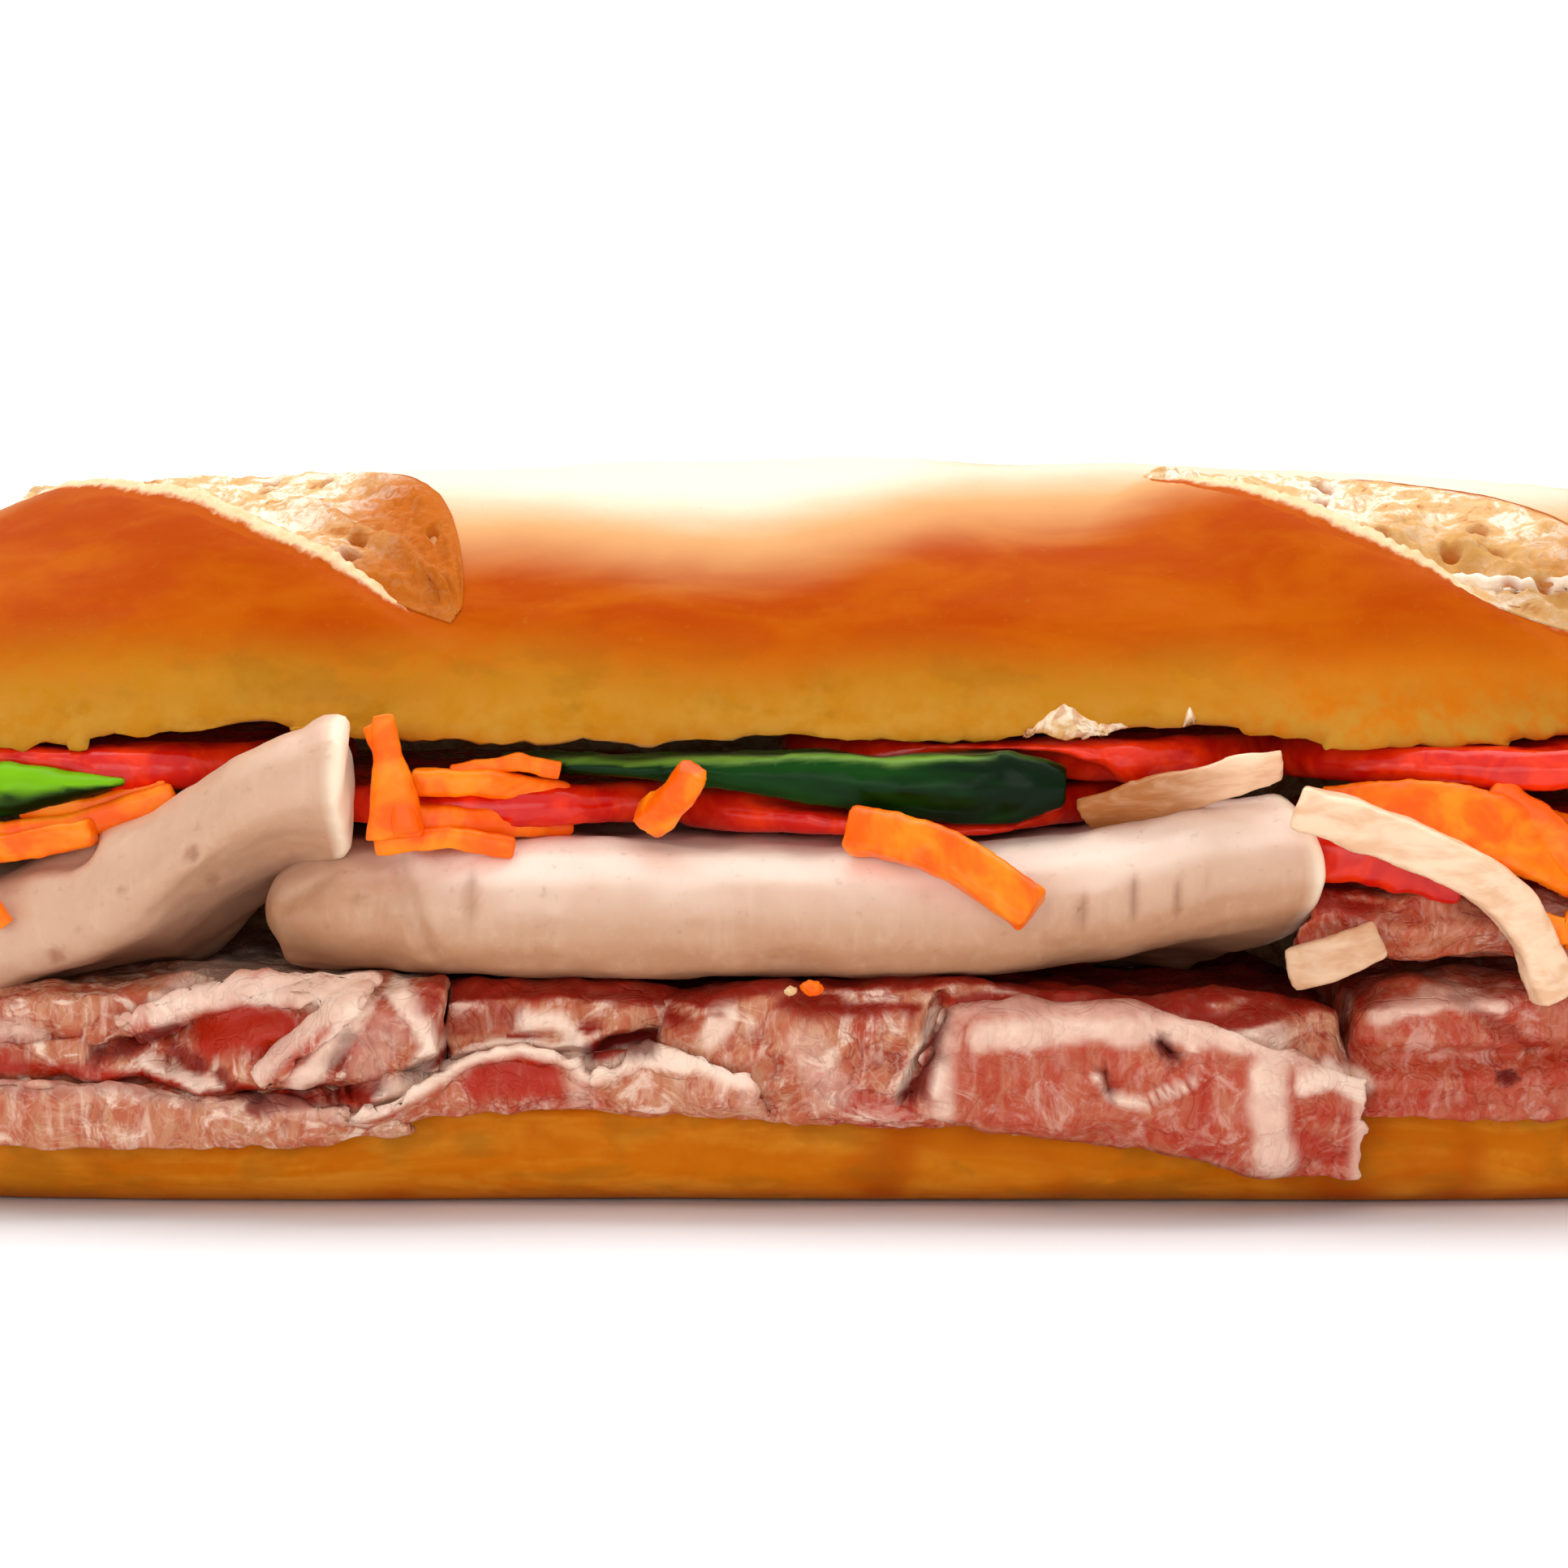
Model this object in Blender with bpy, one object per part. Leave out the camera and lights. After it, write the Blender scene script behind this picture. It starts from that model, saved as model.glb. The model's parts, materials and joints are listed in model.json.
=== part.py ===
"""A banh mi: a split baguette filled with ham, folded slices of pork roll, tomato, cucumber and pickled
carrot and daikon. It lies along X, opens towards -Y, hinges on its back crust, and rests on its base at Z = 0."""

import math

import bmesh
import bpy
from mathutils import Vector

MM = 0.001
GAP = 0.6 * MM  # between a piece and the one it lies on

SET_BACK = 4.3 * MM  # the filling stands out in front, so the loaf sits this far behind the middle

# The loaf
HALF_LENGTH = 129 * MM
HALF_WIDTH = 37.5 * MM
HEIGHT = 64.5 * MM
WAIST_Z = 28 * MM  # height at which the loaf is widest
TIP_DROP = 4 * MM  # how much lower the tips are than the waist
BASE_TUCK = 1.6 * MM  # how far the round underside is cut flat
CROWN_POWER, BASE_POWER = 2.15, 4.4  # 2 is an ellipse, more is boxier
TAPER, TIP_POINT = 4.2, 0.72  # a larger TAPER keeps the loaf full for longer, a larger TIP_POINT sharpens its tips
BASE_TAPER, BASE_POINT = 6.0, 0.55  # the same for the underside
CREASE_DEPTH, CREASE_HALF = 1.6 * MM, 7 * MM  # the fold in the back crust, where the halves hinge

# The slit that holds the filling
MOUTH_HALF = 110 * MM
MOUTH_Z = 24 * MM  # height at which the slit closes at its ends
MOUTH_RISE, MOUTH_DROP = 17.2 * MM, 14.4 * MM
HOLLOW_RISE, HOLLOW_DROP = 0.24, 0.10  # the crumb behind the lips gives way by this share
HINGE_WALL = 15 * MM  # crumb left uncut behind the slit
LIP_WAVE = 0.5 * MM

# The scores in the top crust: the middle of the cut, its length and turn, how far the crust has opened
# in front of it and behind it, and how deep
SCORES = (
    {"x": -56.2 * MM, "y": -15.6 * MM, "length": 56 * MM, "turn": -37, "front": 3 * MM, "back": 18 * MM,
     "depth": 2.6 * MM},
    {"x": 51 * MM, "y": -21 * MM, "length": 52 * MM, "turn": -27.5, "front": 5 * MM, "back": 14 * MM,
     "depth": 2.8 * MM},
)

# The folded slices of pork roll
FOLD_TURNS = 6  # steps round the fold
RIM_ROUND = 1.2 * MM
HEM = 1.6 * MM  # thickness of the ham that hangs over the lip
LEAF_GROOVE = 1.6 * MM  # how deep the line between the two leaves is at the rim

# The tomato slices
TOMATO_THICK = 3.6  # in mm, as the slices are placed
TOMATO_SIDES = 22

# Which piece gives way to which
ROOM = 0.6 * MM
PRESSED = (
    ("ham_left", "pork_roll_left"),
    ("ham_left", "ham_left_fold"),
    ("ham_left_middle", "ham_left_fold"),
    ("ham_far_left", "pork_roll_left"),
    ("ham_left_middle", "pork_roll_middle"),
    ("ham_long", "pork_roll_middle"),
    ("ham_upper_right", "pork_roll_middle"),
    ("ham_upper_right", "onion"),
    ("ham_left_fold", "pork_roll_middle"),
    ("pork_roll_middle", "pork_roll_left"),
    ("pork_roll_left", "carrot_left"),
    ("pork_roll_middle", "daikon_flat"),
    ("tomato_1", "cucumber_left"),
    ("tomato_1", "pork_roll_left"),
    ("tomato_2", "pork_roll_left"),
    ("tomato_2", "cucumber_middle"),
    ("tomato_3", "cucumber_middle"),
    ("tomato_4", "cucumber_middle"),
    ("tomato_4", "pork_roll_middle"),
    ("tomato_5", "pork_roll_middle"),
    ("tomato_5", "pork_roll_right"),
)

SCORE_LIFT = 1.2 * MM  # the cutter's edges pass over the crust, for a clean outline

COLOURS = {
    "crust": (0.60, 0.26, 0.06),
    "ham": (0.62, 0.26, 0.20),
    "pork_roll": (0.66, 0.46, 0.34),
    "tomato": (0.45, 0.02, 0.01),
    "cucumber": (0.03, 0.12, 0.02),
    "carrot": (0.85, 0.20, 0.01),
    "daikon": (0.78, 0.66, 0.48),
}


def clear_scene():
    for old in list(bpy.data.objects):
        bpy.data.objects.remove(old)


def material(name):
    """A Principled material in the named food's colour, made once."""
    found = bpy.data.materials.get(name)
    if found:
        return found
    made = bpy.data.materials.new(name)
    made.use_nodes = True
    shader = made.node_tree.nodes["Principled BSDF"]
    shader.inputs["Base Color"].default_value = (*COLOURS[name], 1)
    shader.inputs["Roughness"].default_value = 0.5
    shader.inputs["Metallic"].default_value = 0.0
    return made


def loft(name, rings, food):
    """One closed solid through rings of equal count, capped at both ends."""
    shape = bmesh.new()
    rows = [[shape.verts.new(point + Vector((0, SET_BACK, 0))) for point in ring] for ring in rings]
    count = len(rows[0])
    for low, high in zip(rows, rows[1:]):
        for k in range(count):
            after = (k + 1) % count
            shape.faces.new((low[k], low[after], high[after], high[k]))
    shape.faces.new(rows[0])
    shape.faces.new(rows[-1])
    bmesh.ops.recalc_face_normals(shape, faces=shape.faces)
    mesh = bpy.data.meshes.new(name)
    shape.to_mesh(mesh)
    shape.free()
    mesh.materials.append(material(food))
    mesh.shade_smooth()
    mesh.set_sharp_from_angle(angle=math.radians(40))
    made = bpy.data.objects.new(name, mesh)
    bpy.context.scene.collection.objects.link(made)
    return made


def cut(body, cutter):
    """Takes cutter, which stays as a hidden helper, out of body."""
    cutter.hide_render = True
    cutter.display_type = "WIRE"
    step = body.modifiers.new("cut_" + cutter.name, "BOOLEAN")
    step.operation = "DIFFERENCE"
    step.solver = "EXACT"
    step.object = cutter


def ease(t):
    """0 to 1 with level ends."""
    t = min(1.0, max(0.0, t))
    return t * t * (3 - 2 * t)


def between(x, table):
    """The value at x of a smooth line through the table's (x, value) pairs."""
    if x <= table[0][0]:
        return table[0][1]
    for (x0, v0), (x1, v1) in zip(table, table[1:]):
        if x <= x1:
            return v0 + (v1 - v0) * ease((x - x0) / (x1 - x0))
    return table[-1][1]


def level(value):
    """A table for between() that is the same all along, in mm."""
    return ((0.0, value * MM),)


def stations(low, high, count):
    """Places from low to high that crowd towards both ends."""
    middle, half = (low + high) / 2, (high - low) / 2
    return [middle - half * math.cos(math.pi * k / (count - 1)) for k in range(count)]


# ---- the loaf ----


def fullness(x):
    """How much of its full height and width the loaf has at x."""
    return max(0.0, 1 - abs(x / HALF_LENGTH) ** TAPER) ** TIP_POINT


def base_fullness(x):
    return max(0.0, 1 - abs(x / HALF_LENGTH) ** BASE_TAPER) ** BASE_POINT


def loaf_half_width(x):
    wander = 1 + 0.012 * math.sin(x / (17 * MM)) + 0.008 * math.sin(x / (7.3 * MM) + 1)
    return HALF_WIDTH * fullness(x) * wander


def waist_z(x):
    return WAIST_Z - TIP_DROP * abs(x / HALF_LENGTH) ** 3


def crown_rise(x):
    return (HEIGHT - WAIST_Z) * fullness(x) * (1 + 0.010 * math.sin(x / (13 * MM) + 2))


def base_drop(x):
    return (WAIST_Z + BASE_TUCK) * base_fullness(x)


def rounded(share, power):
    """The height of a superellipse at a share of its half width."""
    return (1 - min(1.0, abs(share)) ** power) ** (1 / power)


def loaf_point(x, angle):
    """The crust's surface at x, at an angle round the loaf from +Y over the top."""
    across, up = math.cos(angle), math.sin(angle)
    power = CROWN_POWER if up >= 0 else BASE_POWER
    reach = crown_rise(x) if up >= 0 else base_drop(x)
    y = loaf_half_width(x) * math.copysign(abs(across) ** (2 / power), across)
    z = max(0.0, waist_z(x) + reach * math.copysign(abs(up) ** (2 / power), up))
    if across > 0:
        y -= CREASE_DEPTH * ease(1 - abs(z - MOUTH_Z) / CREASE_HALF) * fullness(x)
    return Vector((x, y, z))


def crust_z(x, y):
    """Height of the top crust over (x, y)."""
    return waist_z(x) + crown_rise(x) * rounded(y / loaf_half_width(x), CROWN_POWER)


def front_crust_y(x, z):
    """Where the front of the lower crust is at height z."""
    below = max(0.0, waist_z(x) - z)
    return -loaf_half_width(x) * rounded(below / base_drop(x), BASE_POWER)


def carried(point):
    """A place in mm given for a straight loaf, carried back where the loaf tapers."""
    x, y, z = (value * MM for value in point)
    return Vector((x, y + HALF_WIDTH - loaf_half_width(x), z))


def mouth_share(x):
    return max(0.0, 1 - abs(x / MOUTH_HALF) ** 4) ** 0.5


def hinge_y(x):
    return loaf_half_width(x) - HINGE_WALL


def hollow(x, y):
    """How wide the slit is at y against its lips: 0 at the hinge."""
    back = min(1.0, max(0.0, y / hinge_y(x)))
    return 1 - back**3


def lip_wave(x):
    return LIP_WAVE * (math.sin(x / (11 * MM)) + 0.6 * math.sin(x / (4.7 * MM) + 0.7))


def mouth_top(x, y):
    inside = 1 + HOLLOW_RISE * ease((y + 36 * MM) / (12 * MM))
    return MOUTH_Z + (MOUTH_RISE + lip_wave(x)) * mouth_share(x) * inside * hollow(x, y)


def mouth_floor(x, y):
    inside = 1 + HOLLOW_DROP * ease((y + 34 * MM) / (12 * MM))
    return MOUTH_Z - (MOUTH_DROP + 0.5 * lip_wave(x + 30 * MM)) * mouth_share(x) * inside * hollow(x, y)


def make_loaf():
    count = 36
    angles = [2 * math.pi * k / count for k in range(count)]
    ends = HALF_LENGTH * 0.9985
    rings = [[loaf_point(x, a) for a in angles] for x in stations(-ends, ends, 27)]
    loaf = loft("baguette", rings, "crust")
    cut(loaf, make_mouth())
    for number, score in enumerate(SCORES):
        cut(loaf, make_score(f"score_{number}", score))
    return loaf


def make_mouth():
    """The slit as a solid: open in front, closing at both ends and on the hinge."""
    outside = -60 * MM
    rings = []
    for x in stations(-MOUTH_HALF * 0.999, MOUTH_HALF * 0.999, 21):
        back = hinge_y(x)
        ys = [outside, -36 * MM, -30 * MM, -24 * MM, 0.0] + [back * t for t in (0.3, 0.55, 0.8)]
        roof = [Vector((x, y, mouth_top(x, y))) for y in ys]
        bed = [Vector((x, y, mouth_floor(x, y))) for y in ys]
        rings.append(roof + [Vector((x, back, MOUTH_Z))] + bed[::-1])
    return loft("mouth", rings, "crust")


def make_score(name, score):
    """A long lens, sunk in the crust along a slanting cut."""
    turn = math.radians(score["turn"])
    along = Vector((math.cos(turn), math.sin(turn), 0))
    across = Vector((-math.sin(turn), math.cos(turn), 0))
    rings = []
    for s in stations(-0.5, 0.5, 11):
        shape = math.cos(math.pi * s) ** 0.8 + 0.02
        depth = score["depth"] * math.cos(math.pi * s) ** 0.6 + 0.1 * MM
        spine = Vector((score["x"], score["y"], 0)) + along * s * score["length"]
        ring = []
        for t in (0.0, 0.2, 0.4, 0.6, 0.8, 1.0):
            p = spine + across * shape * (t * (score["front"] + score["back"]) - score["front"])
            sunk = (depth + SCORE_LIFT) * (4 * t * (1 - t)) ** 0.7 - SCORE_LIFT
            ring.append(Vector((p.x, p.y, crust_z(p.x, p.y) - sunk)))
        high = [Vector((p.x, p.y, p.z + 6 * MM)) for p in (ring[-1], ring[0])]
        rings.append(ring + high)
    return loft(name, rings, "crust")


# ---- ham ----


def make_ham(name, low, high, top, hang, front, folds, back=14 * MM):
    """A bunch of folded ham from x = low to x = high. It lies on the crumb, shows rounded folds in front and
    hangs over the lower lip. top and hang are tables along x."""
    rings = []
    for x in stations(low, high, 11):
        along = (x - low) / (high - low)
        full = rounded(2 * along - 1, 5)
        carry = HALF_WIDTH - loaf_half_width(x)
        tuck = front + carry + 0.6 * MM * math.sin(x / (6 * MM))
        roof = between(x, top) + 0.4 * MM * math.sin(x / (5 * MM))
        sill = mouth_floor(x, -36 * MM + carry) + GAP
        hem = max(between(x, hang), sill - 6 * MM)
        roof = sill + (roof - sill) * (0.35 + 0.65 * full)
        hem = sill + (hem - sill) * full - 0.3 * MM
        lip_y = front_crust_y(x, sill) - GAP
        hem_y = min(front_crust_y(x, hem) - GAP, lip_y - 0.2 * MM)
        rear = back * (0.7 + 0.3 * full)
        depths = [rear, 0.6 * back, 0] + [depth + carry for depth in (-12 * MM, -24 * MM, -32 * MM)]
        bed = [Vector((x, y, mouth_floor(x, y) + GAP)) for y in depths]
        ring = bed + [Vector((x, lip_y, sill)), Vector((x, hem_y, hem)), Vector((x, hem_y - HEM, hem))]
        steps = 4 * folds
        for k in range(1, steps):
            share = k / steps
            bulge = abs(math.sin(math.pi * folds * share)) ** 0.7
            y = min(tuck, hem_y - HEM) + 1.8 * MM * (1 - bulge) + 5 * MM * (1 - full)
            ring.append(Vector((x, y, hem + (roof - hem) * share)))
        ring.append(Vector((x, tuck + 3 * MM + 5 * MM * (1 - full), roof)))
        ring.append(Vector((x, -10 * MM + carry, max(roof, bed[0].z + HEM))))
        ring.append(Vector((x, rear, max(roof - 1.5 * MM, bed[0].z + HEM))))
        rings.append(ring)
    return loft(name, rings, "ham")


def make_hams():
    make_ham("ham_far_left", -98 * MM, -77.6 * MM, level(18.6), level(11), -37.0 * MM, 2, back=8 * MM)
    make_ham("ham_left", -77 * MM, -42.4 * MM, level(19.2), level(7.2), -38.4 * MM, 3)
    make_ham("ham_left_middle", -41.8 * MM, -15.6 * MM, level(18.9), level(9.4), -39.6 * MM, 2)
    make_ham("ham_long", -15 * MM, 44.8 * MM, ((0, 19.6 * MM), (45 * MM, 17.8 * MM)),
             ((-10 * MM, 9 * MM), (20 * MM, 8 * MM), (38 * MM, 3.8 * MM)), -40.8 * MM, 1)
    make_ham("ham_right", 45.4 * MM, 71.6 * MM, level(20.8), level(8.8), -38.6 * MM, 2)
    make_ham("ham_far_right", 72.2 * MM, 98 * MM, level(18.6), level(10.5), -37.4 * MM, 2, back=8 * MM)
    make_fold(
        "ham_left_fold", "ham", 12 * MM, 4.3 * MM, -46 * MM,
        front=level(-42.4), height=((-56 * MM, 14.6 * MM), (-36 * MM, 16.8 * MM)), sink=level(0),
    )
    make_fold(
        "ham_upper_right", "ham", 14.5 * MM, 3.1 * MM, 53.5 * MM,
        front=level(-38), height=((42 * MM, 25.6 * MM), (66 * MM, 24.9 * MM)), sink=level(0),
    )


# ---- pork roll ----


def make_fold(name, food, radius, thick, centre, front, height, sink, half=0.97):
    """A round slice folded in two, with its fold in front. front, height and sink give the fold's foremost y,
    its middle z and how steeply the two leaves go down behind it, as tables along x."""
    rings = []
    count = 17 if radius > 20 * MM else 11
    for s in stations(-radius * half, radius * half, count):
        x = centre + s
        leaf = (radius**2 - s**2) ** 0.5
        carry = HALF_WIDTH - loaf_half_width(x)
        fold = Vector((x, between(x, front) + carry + thick, between(x, height)))
        slope = between(x, sink)
        back = Vector((0, 1, -slope)).normalized()
        up = Vector((0, slope, 1)).normalized()
        ring = [fold + back * (leaf - RIM_ROUND) * t + up * thick for t in (1, 0.5)]
        for k in range(FOLD_TURNS + 1):
            angle = math.pi / 2 + math.pi * k / FOLD_TURNS
            ring.append(fold + back * thick * math.cos(angle) + up * thick * math.sin(angle))
        ring += [fold + back * (leaf - RIM_ROUND) * t - up * thick for t in (0.5, 1)]
        for level in (-0.7, -0.2, 0, 0.2, 0.7):
            inset = LEAF_GROOVE if level == 0 else 0
            ring.append(fold + back * (leaf - inset) + up * thick * level)
        rings.append(ring)
    return loft(name, rings, food)


def make_rolls():
    make_fold(
        "pork_roll_left", "pork_roll", 32 * MM, 5.3 * MM, -73.5 * MM,
        front=((-106 * MM, -36 * MM), (-74 * MM, -39 * MM), (-43 * MM, -46 * MM)),
        height=((-106 * MM, 24.6 * MM), (-76 * MM, 25.2 * MM), (-43 * MM, 38.4 * MM)),
        sink=((-106 * MM, 0.0), (-76 * MM, 0.02), (-43 * MM, 0.62)),
    )
    make_fold(
        "pork_roll_middle", "pork_roll", 46 * MM, 5.9 * MM, -4.4 * MM,
        front=((-50 * MM, -35.4 * MM), (-39 * MM, -36.4 * MM), (-34 * MM, -41 * MM), (42 * MM, -40 * MM)),
        height=((-50 * MM, 26.6 * MM), (10 * MM, 26.6 * MM), (42 * MM, 31.2 * MM)),
        sink=((-50 * MM, 0.02), (10 * MM, 0.03), (42 * MM, 0.34)),
    )
    make_fold(
        "pork_roll_right", "pork_roll", 16.5 * MM, 5.0 * MM, 85 * MM,
        front=((68 * MM, -38.6 * MM), (102 * MM, -36 * MM)),
        height=((68 * MM, 26.8 * MM), (102 * MM, 24.8 * MM)),
        sink=((68 * MM, 0.03), (108 * MM, 0.0)),
    )


# ---- tomato ----


def make_tomato(name, x, y, z, radius, tilt):
    """A round slice, in mm, with a bulging rim."""
    rings = []
    for height, inset in ((-0.5, 0.9), (0.0, 0.0), (0.5, 0.9)):
        ring = []
        for k in range(TOMATO_SIDES):
            angle = 2 * math.pi * k / TOMATO_SIDES
            reach = (radius - inset) * (1 + 0.02 * math.cos(5 * angle))
            dx, dy = reach * math.cos(angle), reach * math.sin(angle)
            ring.append(Vector((x + dx, y + dy, z + height * TOMATO_THICK + dx * tilt)) * MM)
        rings.append(ring)
    return loft(name, rings, "tomato")


def make_tomatoes():
    make_tomato("tomato_1", -66, -8.5, 38.6, 19.5, 0.0)
    make_tomato("tomato_2", -34, -10.0, 34.9, 20.0, 0.0)
    make_tomato("tomato_3", 7, -12.0, 34.9, 20.0, 0.01)
    make_tomato("tomato_4", 14, -9.5, 39.4, 20.5, 0.0)
    make_tomato("tomato_5", 62, -10.0, 33.4, 20.5, 0.04)
    make_tomato("tomato_6", 59, -11.0, 38.2, 20.0, 0.0)


# ---- sticks ----


def smooth_path(points, count):
    """count points on a Catmull-Rom curve through the given ones."""
    ends = [points[0] * 2 - points[1]] + points + [points[-1] * 2 - points[-2]]
    made = []
    for k in range(count):
        place = (len(points) - 1) * k / (count - 1)
        i = min(int(place), len(points) - 2)
        t = place - i
        a, b, c, d = ends[i : i + 4]
        bend = (2 * a - 5 * b + 4 * c - d) * t * t + (3 * b - a - 3 * c + d) * t**3
        made.append(((2 * b) + (c - a) * t + bend) / 2)
    return made


def make_stick(name, food, route, width, height, taper=(1.0, 1.0), up=(0, 0, 1), steps=6):
    """A cut stick along a route in mm. width lies across the route and height along up; taper scales its ends."""
    line = smooth_path([carried(p) for p in route], steps)
    rings = []
    for k, point in enumerate(line):
        ahead = (line[min(k + 1, steps - 1)] - line[max(k - 1, 0)]).normalized()
        side = ahead.cross(Vector(up)).normalized()
        over = side.cross(ahead)
        size = taper[0] + (taper[1] - taper[0]) * k / (steps - 1)
        ring = []
        for corner in range(8):
            angle = math.pi / 8 + math.pi * corner / 4
            c, s = math.cos(angle), math.sin(angle)
            a = math.copysign(abs(c) ** 0.45, c) * width * MM / 2 * size
            b = math.copysign(abs(s) ** 0.45, s) * height * MM / 2 * size
            ring.append(point + side * a + over * b)
        rings.append(ring)
    return loft(name, rings, food)


def make_cucumber(name, route, depth, height, taper):
    """A spear cut from a cucumber's side: its skin, in front, is round and the cut faces run back from it."""
    steps = 8
    line = smooth_path([carried(p) for p in route], steps)
    rings = []
    for k, point in enumerate(line):
        share = k / (steps - 1)
        size = between(share, taper)
        half = height * MM / 2 * size
        reach = depth * MM * (0.45 + 0.55 * size)
        ring = []
        for t in (-1, -0.6, 0, 0.6, 1):
            ring.append(point + Vector((0, 1.3 * MM * t * t, half * t)))
        ring.append(point + Vector((0, reach, half * 0.85)))
        ring.append(point + Vector((0, reach + 1 * MM, 0)))
        ring.append(point + Vector((0, reach, -half * 0.85)))
        rings.append(ring)
    return loft(name, rings, "cucumber")


def make_greens():
    make_cucumber(
        "cucumber_middle", ((-30, -33.5, 39.2), (-6, -36.4, 38.3), (8, -37.6, 37.4), (19.6, -36.6, 37.4)), 12.5, 6.4,
        ((0, 0.18), (0.55, 0.8), (0.8, 1.0), (0.93, 1.0), (1, 0.55)),
    )
    make_cucumber(
        "cucumber_left", ((-98, -33, 32.4), (-88, -34.5, 34.6), (-75, -36.5, 36.7), (-62.4, -36.5, 37.8)), 9, 4.8,
        ((0, 0.25), (0.3, 0.95), (0.75, 1.0), (1, 0.15)),
    )
    make_cucumber(
        "cucumber_right", ((71, -38, 37.6), (84, -37.5, 35.0), (98, -35.0, 32.0)), 8, 4.4,
        ((0, 0.3), (0.25, 1.0), (0.8, 0.95), (1, 0.25)),
    )


def make_pickles():
    carrot, daikon = "carrot", "daikon"
    make_stick("carrot_upright", carrot, ((-38.4, -39.0, 33.4), (-38.8, -39.6, 38.5), (-39.4, -40.0, 44.2)),
               5.4, 2.4, (1.0, 0.35), up=(0, 1, 0))
    make_stick("carrot_high", carrot, ((-37.2, -36.4, 38.0), (-31.0, -36.0, 37.8), (-24.0, -33.4, 36.4)), 2.6, 2.4)
    make_stick("carrot_low", carrot, ((-37.0, -36.4, 34.8), (-31.0, -35.6, 34.4), (-24.0, -32.0, 33.8)), 3.0, 2.6)
    make_stick("carrot_short", carrot, ((-16.6, -36.6, 34.6), (-14.6, -40.0, 36.6), (-12.6, -42.4, 39.6)),
               3.4, 3.0, (1.0, 0.8), up=(0, 1, 0.3))
    make_stick("carrot_slant", carrot, ((0.8, -38.2, 34.2), (8.6, -41.6, 32.6), (16.2, -44.0, 27.8)),
               3.4, 4.2, up=(0.3, 0.4, 1))
    make_stick("carrot_left", carrot, ((-79.0, -36.0, 31.9), (-73.0, -36.8, 32.0), (-65.0, -36.8, 33.6)), 2.6, 2.6)
    make_stick("carrot_far_left", carrot, ((-101.0, -36.4, 31.6), (-95.0, -38.6, 32.2), (-86.0, -41.6, 30.4)), 3, 3)
    make_stick("carrot_ribbon", carrot, ((41.6, -34.4, 35.0), (50.0, -38.4, 35.6), (58.0, -39.6, 33.6), (65, -37.6, 30.6)),
               1.7, 7.6, (0.7, 1.0), up=(0, 0.45, 1), steps=8)
    make_stick("carrot_right_low", carrot, ((62.4, -39.9, 25.4), (65.4, -40.6, 25.2), (71.0, -41.2, 23.8)), 3.0, 3.4)
    make_stick("carrot_right_end", carrot, ((73.0, -40.6, 32.8), (84.0, -41.6, 32.0), (95.0, -39.0, 28.5)), 3.2, 3.4)
    make_stick("daikon_flat", daikon, ((21.6, -33.6, 37.2), (30.0, -37.4, 38.2), (38.2, -38.2, 39.0)),
               8.0, 2.0, (1.0, 0.55), up=(0, 0.9, 1))
    make_stick("daikon_long", daikon, ((38.8, -40.8, 36.4), (46.0, -42.0, 34.0), (54.4, -43.0, 30.4),
                                      (58.8, -42.6, 25.8), (61.4, -42.0, 19.8)), 3.4, 4.2, steps=10)
    make_stick("daikon_right", daikon, ((68.0, -43.0, 34.4), (76.0, -45.8, 30.4), (84.0, -45.4, 24.0)), 3.4, 3.8)
    make_stick("daikon_far_left", daikon, ((-100.0, -40.6, 27.6), (-95.0, -42.4, 28.4), (-86.0, -44.6, 24.4)), 3.4, 3.6)
    make_stick("onion", daikon, ((38.8, -38.6, 22.0), (42.6, -40.0, 23.2), (46.4, -40.0, 24.8)), 3.0, 4.4, (0.9, 0.8))


def grown_cutter(piece):
    """A hidden helper: the piece swollen by the space its softer neighbours leave round it."""
    helper = piece.copy()
    helper.name = "room_" + piece.name
    bpy.context.scene.collection.objects.link(helper)
    swell = helper.modifiers.new("swell", "DISPLACE")
    swell.strength = ROOM
    swell.mid_level = 0.0
    return helper


def press_together():
    """Softer pieces give way to the ones pressed into them."""
    names = sorted({hard for soft, hard in PRESSED})
    helpers = {name: grown_cutter(bpy.data.objects[name]) for name in names}
    for soft, hard in PRESSED:
        cut(bpy.data.objects[soft], helpers[hard])


def main():
    clear_scene()
    make_loaf()
    make_hams()
    make_rolls()
    make_tomatoes()
    make_greens()
    make_pickles()
    press_together()


main()
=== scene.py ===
# A banh mi: crusty split loaf with torn scores, folded pork roll, marbled ham, tomato, cucumber,
# pickled carrot and daikon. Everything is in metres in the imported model's frame.
import json
import math
import random

import bmesh
import bpy
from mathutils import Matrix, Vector, noise
from mathutils.bvhtree import BVHTree


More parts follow.
